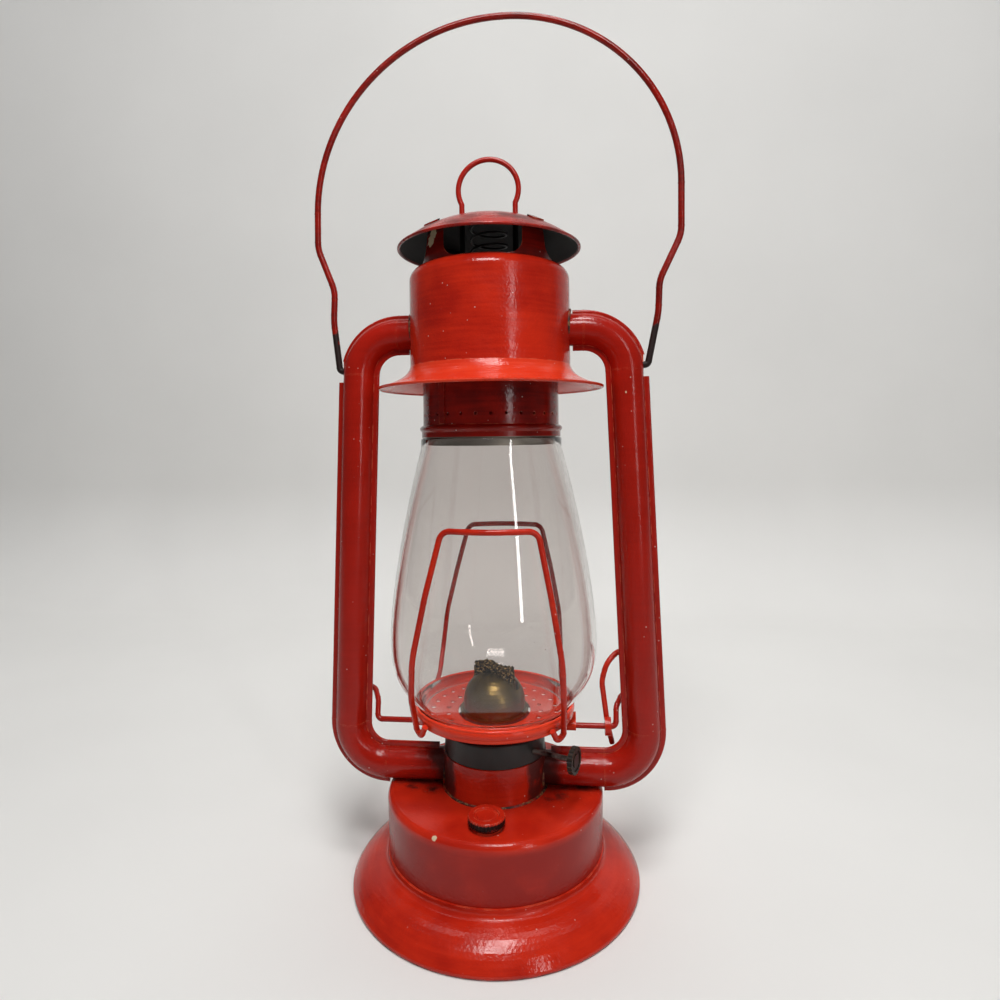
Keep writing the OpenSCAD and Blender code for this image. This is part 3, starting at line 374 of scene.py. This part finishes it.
def browned_brass(name):
    """Spun brass, browned by heat: a dull metal with dark stains, smoked black round the slot."""
    c = colours()
    made, tree, place = blank(name)
    stains = ramp(tree, mottle(tree, place, 7, detail=5), 0.38, 0.68)
    metal = over(tree, times(tree, stains, 0.6), rgba(c.brass), rgba(c.brass_stain))
    hot = ramp(tree, height(tree, place), *SMOKED_BRASS)
    smoke = times(tree, hot, ramp(tree, mottle(tree, place, 3), 0.3, 0.6))
    metal = over(tree, smoke, metal, rgba(c.char))
    gloss = between(tree, mottle(tree, place, 4), 0.28, 0.42)
    skin = bumped(tree, mottle(tree, place, 0.5, stretch=(0.15, 0.15, 1)), 0.1, 0.1)
    shaded(tree, Base_Color=metal, Roughness=gloss, Metallic=0.85, Normal=skin)
    return made


def dull_steel(name, clean, dirty, metallic):
    """Drawn steel wire and strap, dulled or blackened by smoke."""
    made, tree, place = blank(name)
    smoke = over(tree, ramp(tree, mottle(tree, place, 5), 0.35, 0.7), rgba(clean), rgba(dirty))
    gloss = between(tree, mottle(tree, place, 2), 0.35, 0.6)
    shaded(tree, Base_Color=smoke, Roughness=gloss, Metallic=metallic)
    return made


def pressed_glass(name):
    """Clear pressed glass: thick, faintly wavy, with streaks of smoke film and dark specks."""
    c = colours()
    made, tree, place = blank(name)
    waves = mottle(tree, place, 30, detail=1, stretch=(1, 1, 0.35))
    film = ramp(tree, mottle(tree, place, 9, stretch=(1, 1, 0.15)), 0.55, 0.8)
    specks = times(tree, dots(tree, place, 9, 0.035, 0.02), ramp(tree, mottle(tree, place, 25), 0.45, 0.6))
    shaded(tree, Base_Color=over(tree, specks, rgba(c.glass), rgba(c.fly_speck)),
           Roughness=between(tree, film, 0.0, 0.06), IOR=1.5,
           Transmission_Weight=math_of(tree, "SUBTRACT", 1.0, specks), Normal=bumped(tree, waves, 0.25, 0.5))
    return made


def burnt_cotton(name):
    """Flat woven cotton wick: oil-soaked threads about a millimetre apart, charred black towards the top."""
    c = colours()
    made, tree, place = blank(name)
    rows = add(tree, "ShaderNodeTexWave", {"Vector": place, "Scale": per_mm(1.0) / 20, "Distortion": 1.5},
               bands_direction="Z").outputs[1]
    burnt = ramp(tree, height(tree, place), *CHARRED_COTTON)
    crumbs = mottle(tree, place, 1.2, detail=6)
    coal = over(tree, ramp(tree, mottle(tree, place, 0.9, detail=2), 0.54, 0.62), rgba(c.char), rgba(c.ash))
    weave = over(tree, rows, rgba(c.ash), rgba(c.cotton))
    thread = over(tree, burnt, weave, coal)
    skin = bumped(tree, crumbs, 0.9, 0.6)
    shaded(tree, Base_Color=thread, Roughness=0.95, Normal=skin, Specular_IOR_Level=0.15)
    return made


def solder_grime(name):
    """Soft solder under enamel, wetted unevenly, blackened with oil and specked with rust."""
    c = colours()
    made, tree, place = blank(name)
    dark = ramp(tree, mottle(tree, place, 8, detail=5), 0.35, 0.55)
    paint = over(tree, dark, rgba(c.deep_red), rgba(c.grime_and_shade))
    paint = over(tree, ramp(tree, mottle(tree, place, 1.6, detail=5), 0.5, 0.6), paint, rgba(c.rust))
    skin = bumped(tree, mottle(tree, place, 1), 0.5, 0.3)
    shaded(tree, Base_Color=paint, Roughness=between(tree, dark, 0.3, 0.65), Normal=skin)
    return made


def washer_rubber(name):
    """Oil-proof washer rubber, matt and slightly mottled."""
    c = colours()
    made, tree, place = blank(name)
    tone = over(tree, mottle(tree, place, 2), rgba(c.rubber), rgba(c.black))
    shaded(tree, Base_Color=tone, Roughness=0.8)
    return made


def pale_sweep(name):
    """Matt pale card, faintly cloudy, with painted shade that greys it in front of the lantern."""
    c = colours()
    made, tree, place = blank(name)
    tone = over(tree, mottle(tree, place, 200), rgba(c.floor), rgba(c.floor_shade))
    away = add(tree, "ShaderNodeSeparateXYZ", {0: place}).outputs["Y"]
    # Painted shade: the floor greys in front of the lantern
    tone = over(tree, ramp(tree, away, *SHADED_FLOOR), tone, rgba(c.floor_front_shade))
    shaded(tree, Base_Color=tone, Roughness=0.9)
    return made


def coat(material, *nodes):
    """Gives CAD nodes one material."""
    for node in nodes:
        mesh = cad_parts[node].data
        mesh.materials.clear()
        mesh.materials.append(material)


# Meshes

def placed(name, bm, material):
    """Turns a bmesh into a smooth object of the scene."""
    bmesh.ops.recalc_face_normals(bm, faces=bm.faces)
    mesh = bpy.data.meshes.new(name)
    bm.to_mesh(mesh)
    bm.free()
    mesh.shade_smooth()
    mesh.materials.append(material)
    piece = bpy.data.objects.new(name, mesh)
    bpy.context.scene.collection.objects.link(piece)
    return piece


def finished(name, bm, material, body, replaced=()):
    """Smooth piece that rides on a body, and stands for the CAD nodes that it replaces."""
    piece = placed(name, bm, material)
    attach(piece, body)
    if replaced:
        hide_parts(*replaced)
    return piece


def loop_of(bm, points, closed=True):
    """Vertices and edges through points."""
    verts = [bm.verts.new(p) for p in points]
    ends = zip(verts, verts[1:] + verts[:1]) if closed else zip(verts, verts[1:])
    return verts, [bm.edges.new(pair) for pair in ends]


def turned(points, steps):
    """Closed outline of (radius, height) points spun round the lantern's axis."""
    bm = bmesh.new()
    verts, rim = loop_of(bm, [(r, 0, z) for r, z in points])
    bmesh.ops.spin(bm, geom=verts + rim, cent=(0, 0, 0), axis=(0, 0, 1), angle=math.tau, steps=steps,
                   use_merge=True)
    bmesh.ops.remove_doubles(bm, verts=bm.verts, dist=1e-6)
    return bm


def block(cuts):
    """Cube of side 1 about the origin, cut into a grid."""
    bm = bmesh.new()
    bmesh.ops.create_cube(bm, size=1)
    bmesh.ops.subdivide_edges(bm, edges=bm.edges, cuts=cuts, use_grid_fill=True)
    return bm


def wobble(bm, size, reach):
    """Moves the points by noise, with its feature size and its reach in millimetres."""
    for vert in bm.verts:
        vert.co += noise.noise_vector(vert.co * per_mm(size)) * reach * MM


def ring(radius, thickness, steps=72, sides=10):
    """Torus round the lantern's axis at the floor."""
    around = [math.tau * i / sides for i in range(sides)]
    return turned([(radius + thickness * math.cos(a), thickness * math.sin(a)) for a in around], steps)


class LANTERN_OT_enamel(Operator):
    """Finish the enamelled sheet and wire"""

    bl_idname = "lantern.enamel"
    bl_label = "Red enamel"

    # Damage: places in millimetres, each with its radius
    tube_chips = [(75, -8, 161, 1.5), (66, -7, 236, 1.0)]
    tank_stains = [(33, -12, 43.5, 6), (27, -14, 43.5, 4), (-30, -11, 43.5, 6), (-40, -9, 43.5, 5)]
    tank_chips = [(-22, -48, 42.6, 1.5), (31, -42, 41, 0.8)]
    tank_pits = [(-22, -48, 42.9, 0.5)]
    crown_chips = [(-25.5, -22, 308, 3.2), (-24, -23, 311, 3)]
    cap_stains = [(7.5, -41, 51, 2.5)]

    def execute(self, context):
        c = colours()
        ground = (c.primer, 0.6, 0.0)
        # Dark layer: real dirt, and painted shade where it lies at the tube roots
        dirt_and_shade = (c.grime_and_shade, 0.55, 0.0)
        # Soot, also painted shade inside the crown and under the rain cap
        soot_and_shade = (c.soot_and_shade, 0.75, 0.0)
        # Oil and painted shade at the tube roots
        oily_and_shaded = (self.oil_and_shade_at_roots, *dirt_and_shade)
        coat(red_enamel("red_stoving_enamel", c.deep_red, c.red, [oily_and_shaded]),
             "tank_floor", "air_chamber", "canister", "base_skirt")
        coat(red_enamel("faded_red_enamel", c.red, c.pale_red), "canopy_hood", "filler_neck")
        coat(red_enamel("red_enamel_carriage", c.red, c.pale_red, grime_and_shade=0.4, wear_and_highlight=0.3), "globe_plate")
        coat(red_enamel("red_enamel_wire", c.deep_red, c.red, grime_and_shade=0.4, wear_and_highlight=0.3),
             "front_guard", "lift_lever")
        # A darker copy of the wire enamel: painted shade on the crossbar and the rear guard
        coat(red_enamel("shaded_red_enamel_wire", c.dark_red, c.deep_red, grime_and_shade=0.4, wear_and_highlight=0.3),
             "crossbar", "rear_guard")
        coat(red_enamel("red_enamel_tube", c.dark_red, c.deep_red, [oily_and_shaded], wear_and_highlight=0.9),
             "left_tube_front", "left_tube_rear", "right_tube_rear")
        coat(red_enamel("red_enamel_chipped_tube", c.dark_red, c.deep_red, [
            oily_and_shaded, (chips(self.tube_chips), *ground)], wear_and_highlight=0.9), "right_tube_front")
        coat(red_enamel("red_enamel_tank", c.deep_red, c.red, [
            # Painted shade: the tank's wall is darkened below its top edge
            (self.shaded_tank_wall, c.dark_red, 0.25, 0.0),
            (chips(self.tank_stains, grain=3, fade=0.7), *dirt_and_shade),
            (chips(self.tank_chips), *ground),
            (chips(self.tank_pits), *dirt_and_shade)]), "tank_shell")
        # Soot and painted shadow inside the crown
        coat(red_enamel("red_enamel_sooted_and_shaded_crown", c.maroon, c.dark_red, [
            (self.shadow_and_soot_in_crown, *soot_and_shade), (chips(self.crown_chips), *ground)]), "crown")
        # The cap's underside is painted with soot and shade
        coat(red_enamel("red_enamel_sooted_and_shaded_cap", c.dark_red, c.deep_red, [
            (self.smoked_top, c.maroon, 0.4, 0.0), (self.shade_and_soot_under_cap, *soot_and_shade)]), "rain_cap")
        # Maroon collar: heat browning, and painted shade where the hood shadows it
        coat(red_enamel("red_enamel_browned_and_shaded_collar", c.maroon, c.dark_red, [
            (self.bare_spigot, c.bare_tin, 0.45, 0.8)]), "chimney_collar")
        coat(red_enamel("red_enamel_worn_bail", c.maroon, c.dark_red, [(self.rubbed_ends, *dirt_and_shade)]), "bail")
        coat(red_enamel("red_enamel_smoked_ring", c.dark_red, c.deep_red, [
            (self.below_cap, *soot_and_shade)]), "pull_ring")
        coat(red_enamel("red_enamel_worn_cap", c.deep_red, c.red, [
            (self.rubbed_knurl, c.grime_and_shade, 0.4, 0.4), (chips(self.cap_stains), *dirt_and_shade)], wear_and_highlight=0.9), "filler_cap")
        return {"FINISHED"}

    def oil_and_shade_at_roots(self, tree, place):
        """Black oil, and painted shade under the globe plate, where the tubes leave the air chamber."""
        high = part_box("air_chamber")[1]
        near = ramp(tree, from_axis(tree, place), high.x + 16 * MM, high.x - 1 * MM)
        below = ramp(tree, height(tree, place), high.z + 14 * MM, high.z + 4 * MM)
        patchy = times(tree, near, mottle(tree, place, 9))
        sideways = add(tree, "ShaderNodeVectorMath", {0: place}, operation="ABSOLUTE").outputs[0]
        across = ramp(tree, add(tree, "ShaderNodeSeparateXYZ", {0: sideways}).outputs["X"], 14 * MM, 20 * MM)
        there = times(tree, times(tree, patchy, below), across)
        return times(tree, ramp(tree, there, 0.15, 0.45), 0.85)

    def shaded_tank_wall(self, tree, place):
        """Painted shade on the wall below the tank's top edge, in clouds."""
        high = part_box("tank_shell")[1]
        wall = ramp(tree, height(tree, place), high.z - 2 * MM, high.z - 6 * MM)
        return times(tree, wall, ramp(tree, mottle(tree, place, 20), 0.1, 0.6))

    def shadow_and_soot_in_crown(self, tree, place):
        """Soot and painted shadow on the crown's inner face."""
        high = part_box("crown")[1]
        wall = high.x - 1.1 * MM
        return ramp(tree, from_axis(tree, place), wall, wall - 0.3 * MM)

    def smoked_top(self, tree, place):
        """Clouds of smoke on the rain cap."""
        return ramp(tree, mottle(tree, place, 12), 0.3, 0.75)

    def shade_and_soot_under_cap(self, tree, place):
        """Soot and painted shade under the rain cap, inside its hem, on faces that look down."""
        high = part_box("rain_cap")[1]
        inner = ramp(tree, from_axis(tree, place), high.x - 1.2 * MM, high.x - 1.8 * MM)
        return times(tree, inner, facing_down(tree))

    def below_cap(self, tree, place):
        """Soot on the ring's legs under the rain cap."""
        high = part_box("rain_cap")[1]
        return ramp(tree, height(tree, place), high.z, high.z - 2 * MM)

    def bare_spigot(self, tree, place):
        """Bare tin where the collar plugs into the globe."""
        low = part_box("chimney_collar")[0]
        return ramp(tree, height(tree, place), low.z + 4.4 * MM, low.z + 4.1 * MM)

    def rubbed_ends(self, tree, place):
        """Dirt where the bail rubs in its ears."""
        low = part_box("bail")[0]
        near = ramp(tree, height(tree, place), low.z + 30 * MM, low.z + 14 * MM)
        return ramp(tree, times(tree, near, mottle(tree, place, 5)), 0.25, 0.34)

    def rubbed_knurl(self, tree, place):
        """Dark metal on the cap's grooved edge."""
        low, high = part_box("filler_cap")
        middle = (low + high) / 2
        rim = ramp(tree, from_axis(tree, place, middle.xy), 6.9 * MM, 7.8 * MM)
        side = ramp(tree, height(tree, place), high.z - 0.6 * MM, high.z - 1.2 * MM)
        return times(tree, times(tree, rim, side),
                       ramp(tree, mottle(tree, place, 4), 0.2, 0.45))


class LANTERN_OT_burner(Operator):
    """Finish the burner's brass, lacquer and steel, and the small inner pieces"""

    bl_idname = "lantern.burner"
    bl_label = "Burner metals"

    def execute(self, context):
        c = colours()
        coat(browned_brass("browned_brass"), "fount_collar", "burner_base", "burner_cone", "wick_tube",
             "spur_wheels")
        coat(black_lacquer("black_burner_lacquer"), "burner_collar", "wick_knob")
        coat(dull_steel("dull_steel", c.steel, c.grime_and_shade, 0.9), "wick_shaft")
        coat(dull_steel("smoked_steel", c.grime_and_shade, c.soot_and_shade, 0.3), "chimney_bridge")
        coat(washer_rubber("washer_rubber"), "filler_gasket")
        return {"FINISHED"}


class LANTERN_OT_globe(Operator):
    """Model the glass globe"""

    bl_idname = "lantern.globe"
    bl_label = "Glass globe"

    steps = 144  # round the axis
    foot_rows = 6
    wall_rows = 40
    edge = 1 * MM  # height of the rounded edge at the foot and the mouth
    swell_power = 2.8  # how late the wall turns in below the widest place
    taper_power = 1.53  # and above it

    def execute(self, context):
        s = sizes()
        low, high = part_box("globe")
        self.foot, self.top, self.wide = low.z, high.z, high.x
        swell = self.foot + s.globe_ring_height
        lip = self.top - s.globe_lip_height
        heights = [self.foot + self.edge + (s.globe_ring_height - self.edge) * i / self.foot_rows
                   for i in range(self.foot_rows + 1)]
        heights += [swell + (lip - swell) * i / self.wall_rows for i in range(1, self.wall_rows + 1)]
        heights += [self.top - self.edge]
        half = s.glass_thickness / 2
        outside = [(self.radius(z), z) for z in heights]
        inside = [(r - self.wall(z), z) for r, z in reversed(outside)]
        foot_half = self.wall(heights[0]) / 2
        outline = outside + self.fold(outside[-1], half, 1) + inside + self.fold(inside[-1], foot_half, -1)
        bm = turned(outline, self.steps)
        globe = finished("glass_globe", bm, pressed_glass("clear_pressed_glass"), "carriage",
                         ["globe"])
        # Clear glass throws next to no shadow on what stands inside it
        globe.visible_shadow = False
        return {"FINISHED"}

    def radius(self, z):
        """Outer radius at a height: a straight foot, the swell and a straight lip."""
        s = sizes()
        swell = self.foot + s.globe_wide_height
        if z < swell:
            down = min(1, (swell - z) / (s.globe_wide_height - s.globe_ring_height))
            return self.wide - (self.wide - s.globe_foot_radius) * down ** self.swell_power
        up = min(1, (z - swell) / (self.top - s.globe_lip_height - swell))
        return self.wide - (self.wide - s.globe_mouth_radius) * up ** self.taper_power

    def wall(self, z):
        """Thickness at a height: the pressed foot is thicker inside than the blown wall."""
        s = sizes()
        left = max(0, 1 - (z - self.foot) / s.globe_ring_height)
        return s.glass_thickness + s.foot_bead * math.sqrt(left)

    def fold(self, end, half, way):
        """Rounded edge of the glass, from one wall to the other."""
        turns = [math.pi * i / 6 for i in range(1, 6)]
        middle = end[0] - way * half
        return [(middle + way * half * math.cos(a), end[1] + way * self.edge * math.sin(a)) for a in turns]


class LANTERN_OT_wick(Operator):
    """Model the wick and its charred crust"""

    bl_idname = "lantern.wick"
    bl_label = "Burnt wick"

    slack = 0.3 * MM  # room beside the wick in its tube
    ripple = 0.1 * MM  # waves of the woven faces
    hidden = 1 * MM  # how far the wick ends below its top, inside the crust
    sunk = 2.2 * MM  # crust's middle below the wick's top
    lean = 1.6 * MM  # how much lower the crust is on the right
    # Noise that tears the crust: size of its features and its reach, in millimetres
    tears = [(4.5, 1.0), (1.4, 0.75), (0.7, 0.45)]

    def execute(self, context):
        s = sizes()
        low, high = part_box("wick")
        cotton = burnt_cotton("burnt_cotton")
        turn = Matrix.Rotation(s.burner_turn, 4, "Z")
        bm = block(cuts=12)
        for vert in bm.verts:
            x, y, z = vert.co
            wave = noise.noise(Vector((x * 6, y, z * 40))) * self.ripple
            vert.co = (x * (s.wick_width - self.slack), y * s.wick_thickness + wave,
                       low.z + (z + 0.5) * (high.z - low.z - self.hidden))
        bmesh.ops.transform(bm, matrix=turn, verts=bm.verts)
        finished("flat_wick", bm, cotton, "wick_strip", ["wick"])

        bm = block(cuts=56)
        for vert in bm.verts:
            vert.co = self.crumbled(vert.co, high.z)
        bmesh.ops.transform(bm, matrix=turn, verts=bm.verts)
        crust = finished("wick_crust", bm, cotton, "wick_strip")
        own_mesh(crust)
        return {"FINISHED"}

    def crumbled(self, place, top):
        """A point of the crust: a flat cake, higher on the left, torn by noise at three scales."""
        s = sizes()
        round_off = 1 - 0.25 * (2 * abs(place.x)) ** 6
        spot = Vector((place.x * (s.wick_width - s.crust_margin), place.y * s.crust_thickness * round_off,
                       top - self.sunk + place.z * s.crust_height))
        spot.z -= self.lean * (place.x + 0.5)
        torn = spot
        for size, reach in self.tears:
            torn = torn + noise.noise_vector(spot * per_mm(size)) * reach * MM
        return torn


class LANTERN_OT_spring(Operator):
    """Model the chimney spring as a round wire coil"""

    bl_idname = "lantern.spring"
    bl_label = "Chimney spring"

    sides = 10  # round the wire
    curl_steps = 40

    def execute(self, context):
        s = sizes()
        c = colours()
        low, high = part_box("chimney_spring")
        rise = high.z - low.z - 2 * s.spring_wire
        around = [math.tau * i / self.sides for i in range(self.sides)]
        bm = bmesh.new()
        points = [(s.spring_radius + s.spring_wire * math.cos(a), 0,
                   low.z + s.spring_wire + s.spring_wire * math.sin(a)) for a in around]
        verts, rim = loop_of(bm, points)
        steps = self.curl_steps * s.spring_curls
        made = bmesh.ops.spin(bm, geom=verts + rim, cent=(0, 0, 0), axis=(0, 0, 1),
                              angle=math.tau * s.spring_curls, steps=steps, dvec=(0, 0, rise / steps))
        bm.faces.new(verts)
        bm.faces.new([part for part in made["geom_last"] if isinstance(part, bmesh.types.BMVert)])
        coil = finished("spring_coil", bm, dull_steel("smoked_spring_steel", c.soot_and_shade, c.char, 0.1), "frame",
                        ["chimney_spring"])
        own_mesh(coil)
        return {"FINISHED"}


class LANTERN_OT_solder(Operator):
    """Model the solder where the tubes and the air chamber are joined"""

    bl_idname = "lantern.solder"
    bl_label = "Solder fillets"

    def execute(self, context):
        s = sizes()
        grimy = solder_grime("painted_solder")
        chamber_low, chamber_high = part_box("air_chamber")
        bm = ring(chamber_high.x, s.solder)
        wobble(bm, 6, 0.25)
        bmesh.ops.translate(bm, verts=bm.verts, vec=(0, 0, chamber_low.z))
        finished("chamber_solder", bm, grimy, "frame")
        tube_low, tube_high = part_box("right_tube_front")
        tube_radius = -tube_low.y
        runs = {"low": (chamber_high.x, tube_low.z + tube_radius),
                "top": (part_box("canister")[1].x, tube_high.z - tube_radius)}
        for level, (wall, z) in runs.items():
            for side, way in (("left", -1), ("right", 1)):
                bm = ring(tube_radius, s.solder, steps=48)
                bmesh.ops.rotate(bm, verts=bm.verts, matrix=Matrix.Rotation(math.pi / 2, 3, "Y"))
                for vert in bm.verts:
                    vert.co.x = way * (vert.co.x + math.sqrt(wall ** 2 - vert.co.y ** 2))
                wobble(bm, 5, 0.2)
                bmesh.ops.translate(bm, verts=bm.verts, vec=(0, 0, z))
                finished(f"{side}_{level}_solder", bm, grimy, "frame")
        return {"FINISHED"}


class LANTERN_OT_stage(Operator):
    """Set the camera, the floor and the lights"""

    bl_idname = "lantern.stage"
    bl_label = "Stage"

    # Sweep, in metres: radius of its bend, half its width, its reach in front and its height behind
    bend, half, front, rise = 0.15, 1.5, 1.5, 1.6
    air_colour, air_strength = "#F2F1F4", 0.09
    # Name, place, size, power in watts, point aimed at and spread in degrees
    softboxes = [
        ("key", (0.015, -0.33, 0.6), (0.2, 0.12), 1.6, (0, 0, 0.15), 180),
        ("high", (0.1, -0.35, 1.7), (0.4, 0.4), 10, (0, 0.1, 0.1), 180),
        ("backdrop", (0, 0.1, 1.4), (2.6, 0.2), 3.2, (0, 0.6, 0.2), 90),
        ("strip", (0.72, -0.97, 0.5), (0.06, 0.9), 2.6, (0, 0, 0.22), 180),
    ]

    def execute(self, context):
        self.camera(context)
        self.floor(context)
        self.lights(context)
        return {"FINISHED"}

    def camera(self, context):
        """Camera at the photo's angle."""
        stage = context.scene.lantern_stage
        data = bpy.data.cameras.new("camera")
        data.lens = stage.lens
        data.sensor_width = SENSOR
        data.shift_x = stage.shift_x
        data.shift_y = stage.shift_y
        data.clip_start = 0.01
        eye = bpy.data.objects.new("camera", data)
        eye.location = (stage.camera_distance * math.sin(stage.camera_turn),
                        -stage.camera_distance * math.cos(stage.camera_turn), stage.camera_height)
        turn = Matrix.Rotation(stage.camera_turn, 3, "Z")
        level = Matrix.Rotation(math.pi / 2, 3, "X")
        roll = Matrix.Rotation(stage.camera_roll, 3, "Z").transposed()
        eye.rotation_euler = (turn @ level @ roll).to_euler()
        context.scene.collection.objects.link(eye)
        context.scene.camera = eye

    def floor(self, context):
        """Pale sweep: a floor that rises into a backdrop, far enough back to see the lantern from behind."""
        back, bend = context.scene.lantern_stage.backdrop, self.bend
        turns = [math.pi / 2 * i / 12 for i in range(13)]
        curve = [(back - bend + bend * math.sin(a), bend - bend * math.cos(a)) for a in turns]
        outline = [(-self.front, 0), *curve, (back, self.rise)]
        bm = bmesh.new()
        lines = loop_of(bm, [(-self.half, y, z) for y, z in outline], closed=False)[1]
        sweep = bmesh.ops.extrude_edge_only(bm, edges=lines)
        moved = [part for part in sweep["geom"] if isinstance(part, bmesh.types.BMVert)]
        bmesh.ops.translate(bm, verts=moved, vec=(2 * self.half, 0, 0))
        piece = placed("sweep", bm, pale_sweep("pale_sweep"))

    def lights(self, context):
        """Softboxes in a dim room."""
        world = bpy.data.worlds.new("studio")
        world.use_nodes = True
        context.scene.world = world
        air = world.node_tree.nodes["Background"]
        air.inputs["Color"].default_value = rgba(linear(self.air_colour))
        air.inputs["Strength"].default_value = self.air_strength
        for softbox in self.softboxes:
            self.softbox(context, *softbox)
        context.scene.view_settings.view_transform = "Standard"

    def softbox(self, context, name, place, size, power, aim, spread):
        """Rectangular light aimed at a point."""
        data = bpy.data.lights.new(name, "AREA")
        data.shape = "RECTANGLE"
        data.size, data.size_y = size
        data.energy = power
        data.spread = math.radians(spread)
        lamp = bpy.data.objects.new(name, data)
        lamp.location = place
        lamp.rotation_euler = (Vector(aim) - Vector(place)).to_track_quat("-Z", "Y").to_euler()
        context.scene.collection.objects.link(lamp)


class LANTERN_PT_panel(Panel):
    """Lists the lantern's sizes, colours and steps"""

    bl_idname = "LANTERN_PT_panel"
    bl_label = "Hurricane lantern"
    bl_space_type = "VIEW_3D"
    bl_region_type = "UI"
    bl_category = "Lantern"

    def draw(self, context):
        for step in STEPS:
            self.layout.operator(step.bl_idname)
        for name in GROUPS:
            group = getattr(context.scene, name)
            for key in group.__annotations__:
                self.layout.prop(group, key)


GROUPS = {"lantern_sizes": LanternSizes, "lantern_colours": LanternColours, "lantern_stage": LanternStage}
STEPS = [LANTERN_OT_enamel, LANTERN_OT_burner, LANTERN_OT_globe, LANTERN_OT_wick, LANTERN_OT_spring,
         LANTERN_OT_solder, LANTERN_OT_stage]


def register():
    for kind in [*GROUPS.values(), *STEPS, LANTERN_PT_panel]:
        bpy.utils.register_class(kind)
    for name, kind in GROUPS.items():
        setattr(bpy.types.Scene, name, PointerProperty(type=kind))


def unregister():
    for name in GROUPS:
        delattr(bpy.types.Scene, name)
    for kind in [LANTERN_PT_panel, *reversed(STEPS), *reversed(GROUPS.values())]:
        bpy.utils.unregister_class(kind)


def main():
    """Builds the scene."""
    register()
    bpy.ops.lantern.enamel()
    bpy.ops.lantern.burner()
    bpy.ops.lantern.globe()
    bpy.ops.lantern.wick()
    bpy.ops.lantern.spring()
    bpy.ops.lantern.solder()
    bpy.ops.lantern.stage()


if __name__ == "__main__":
    main()
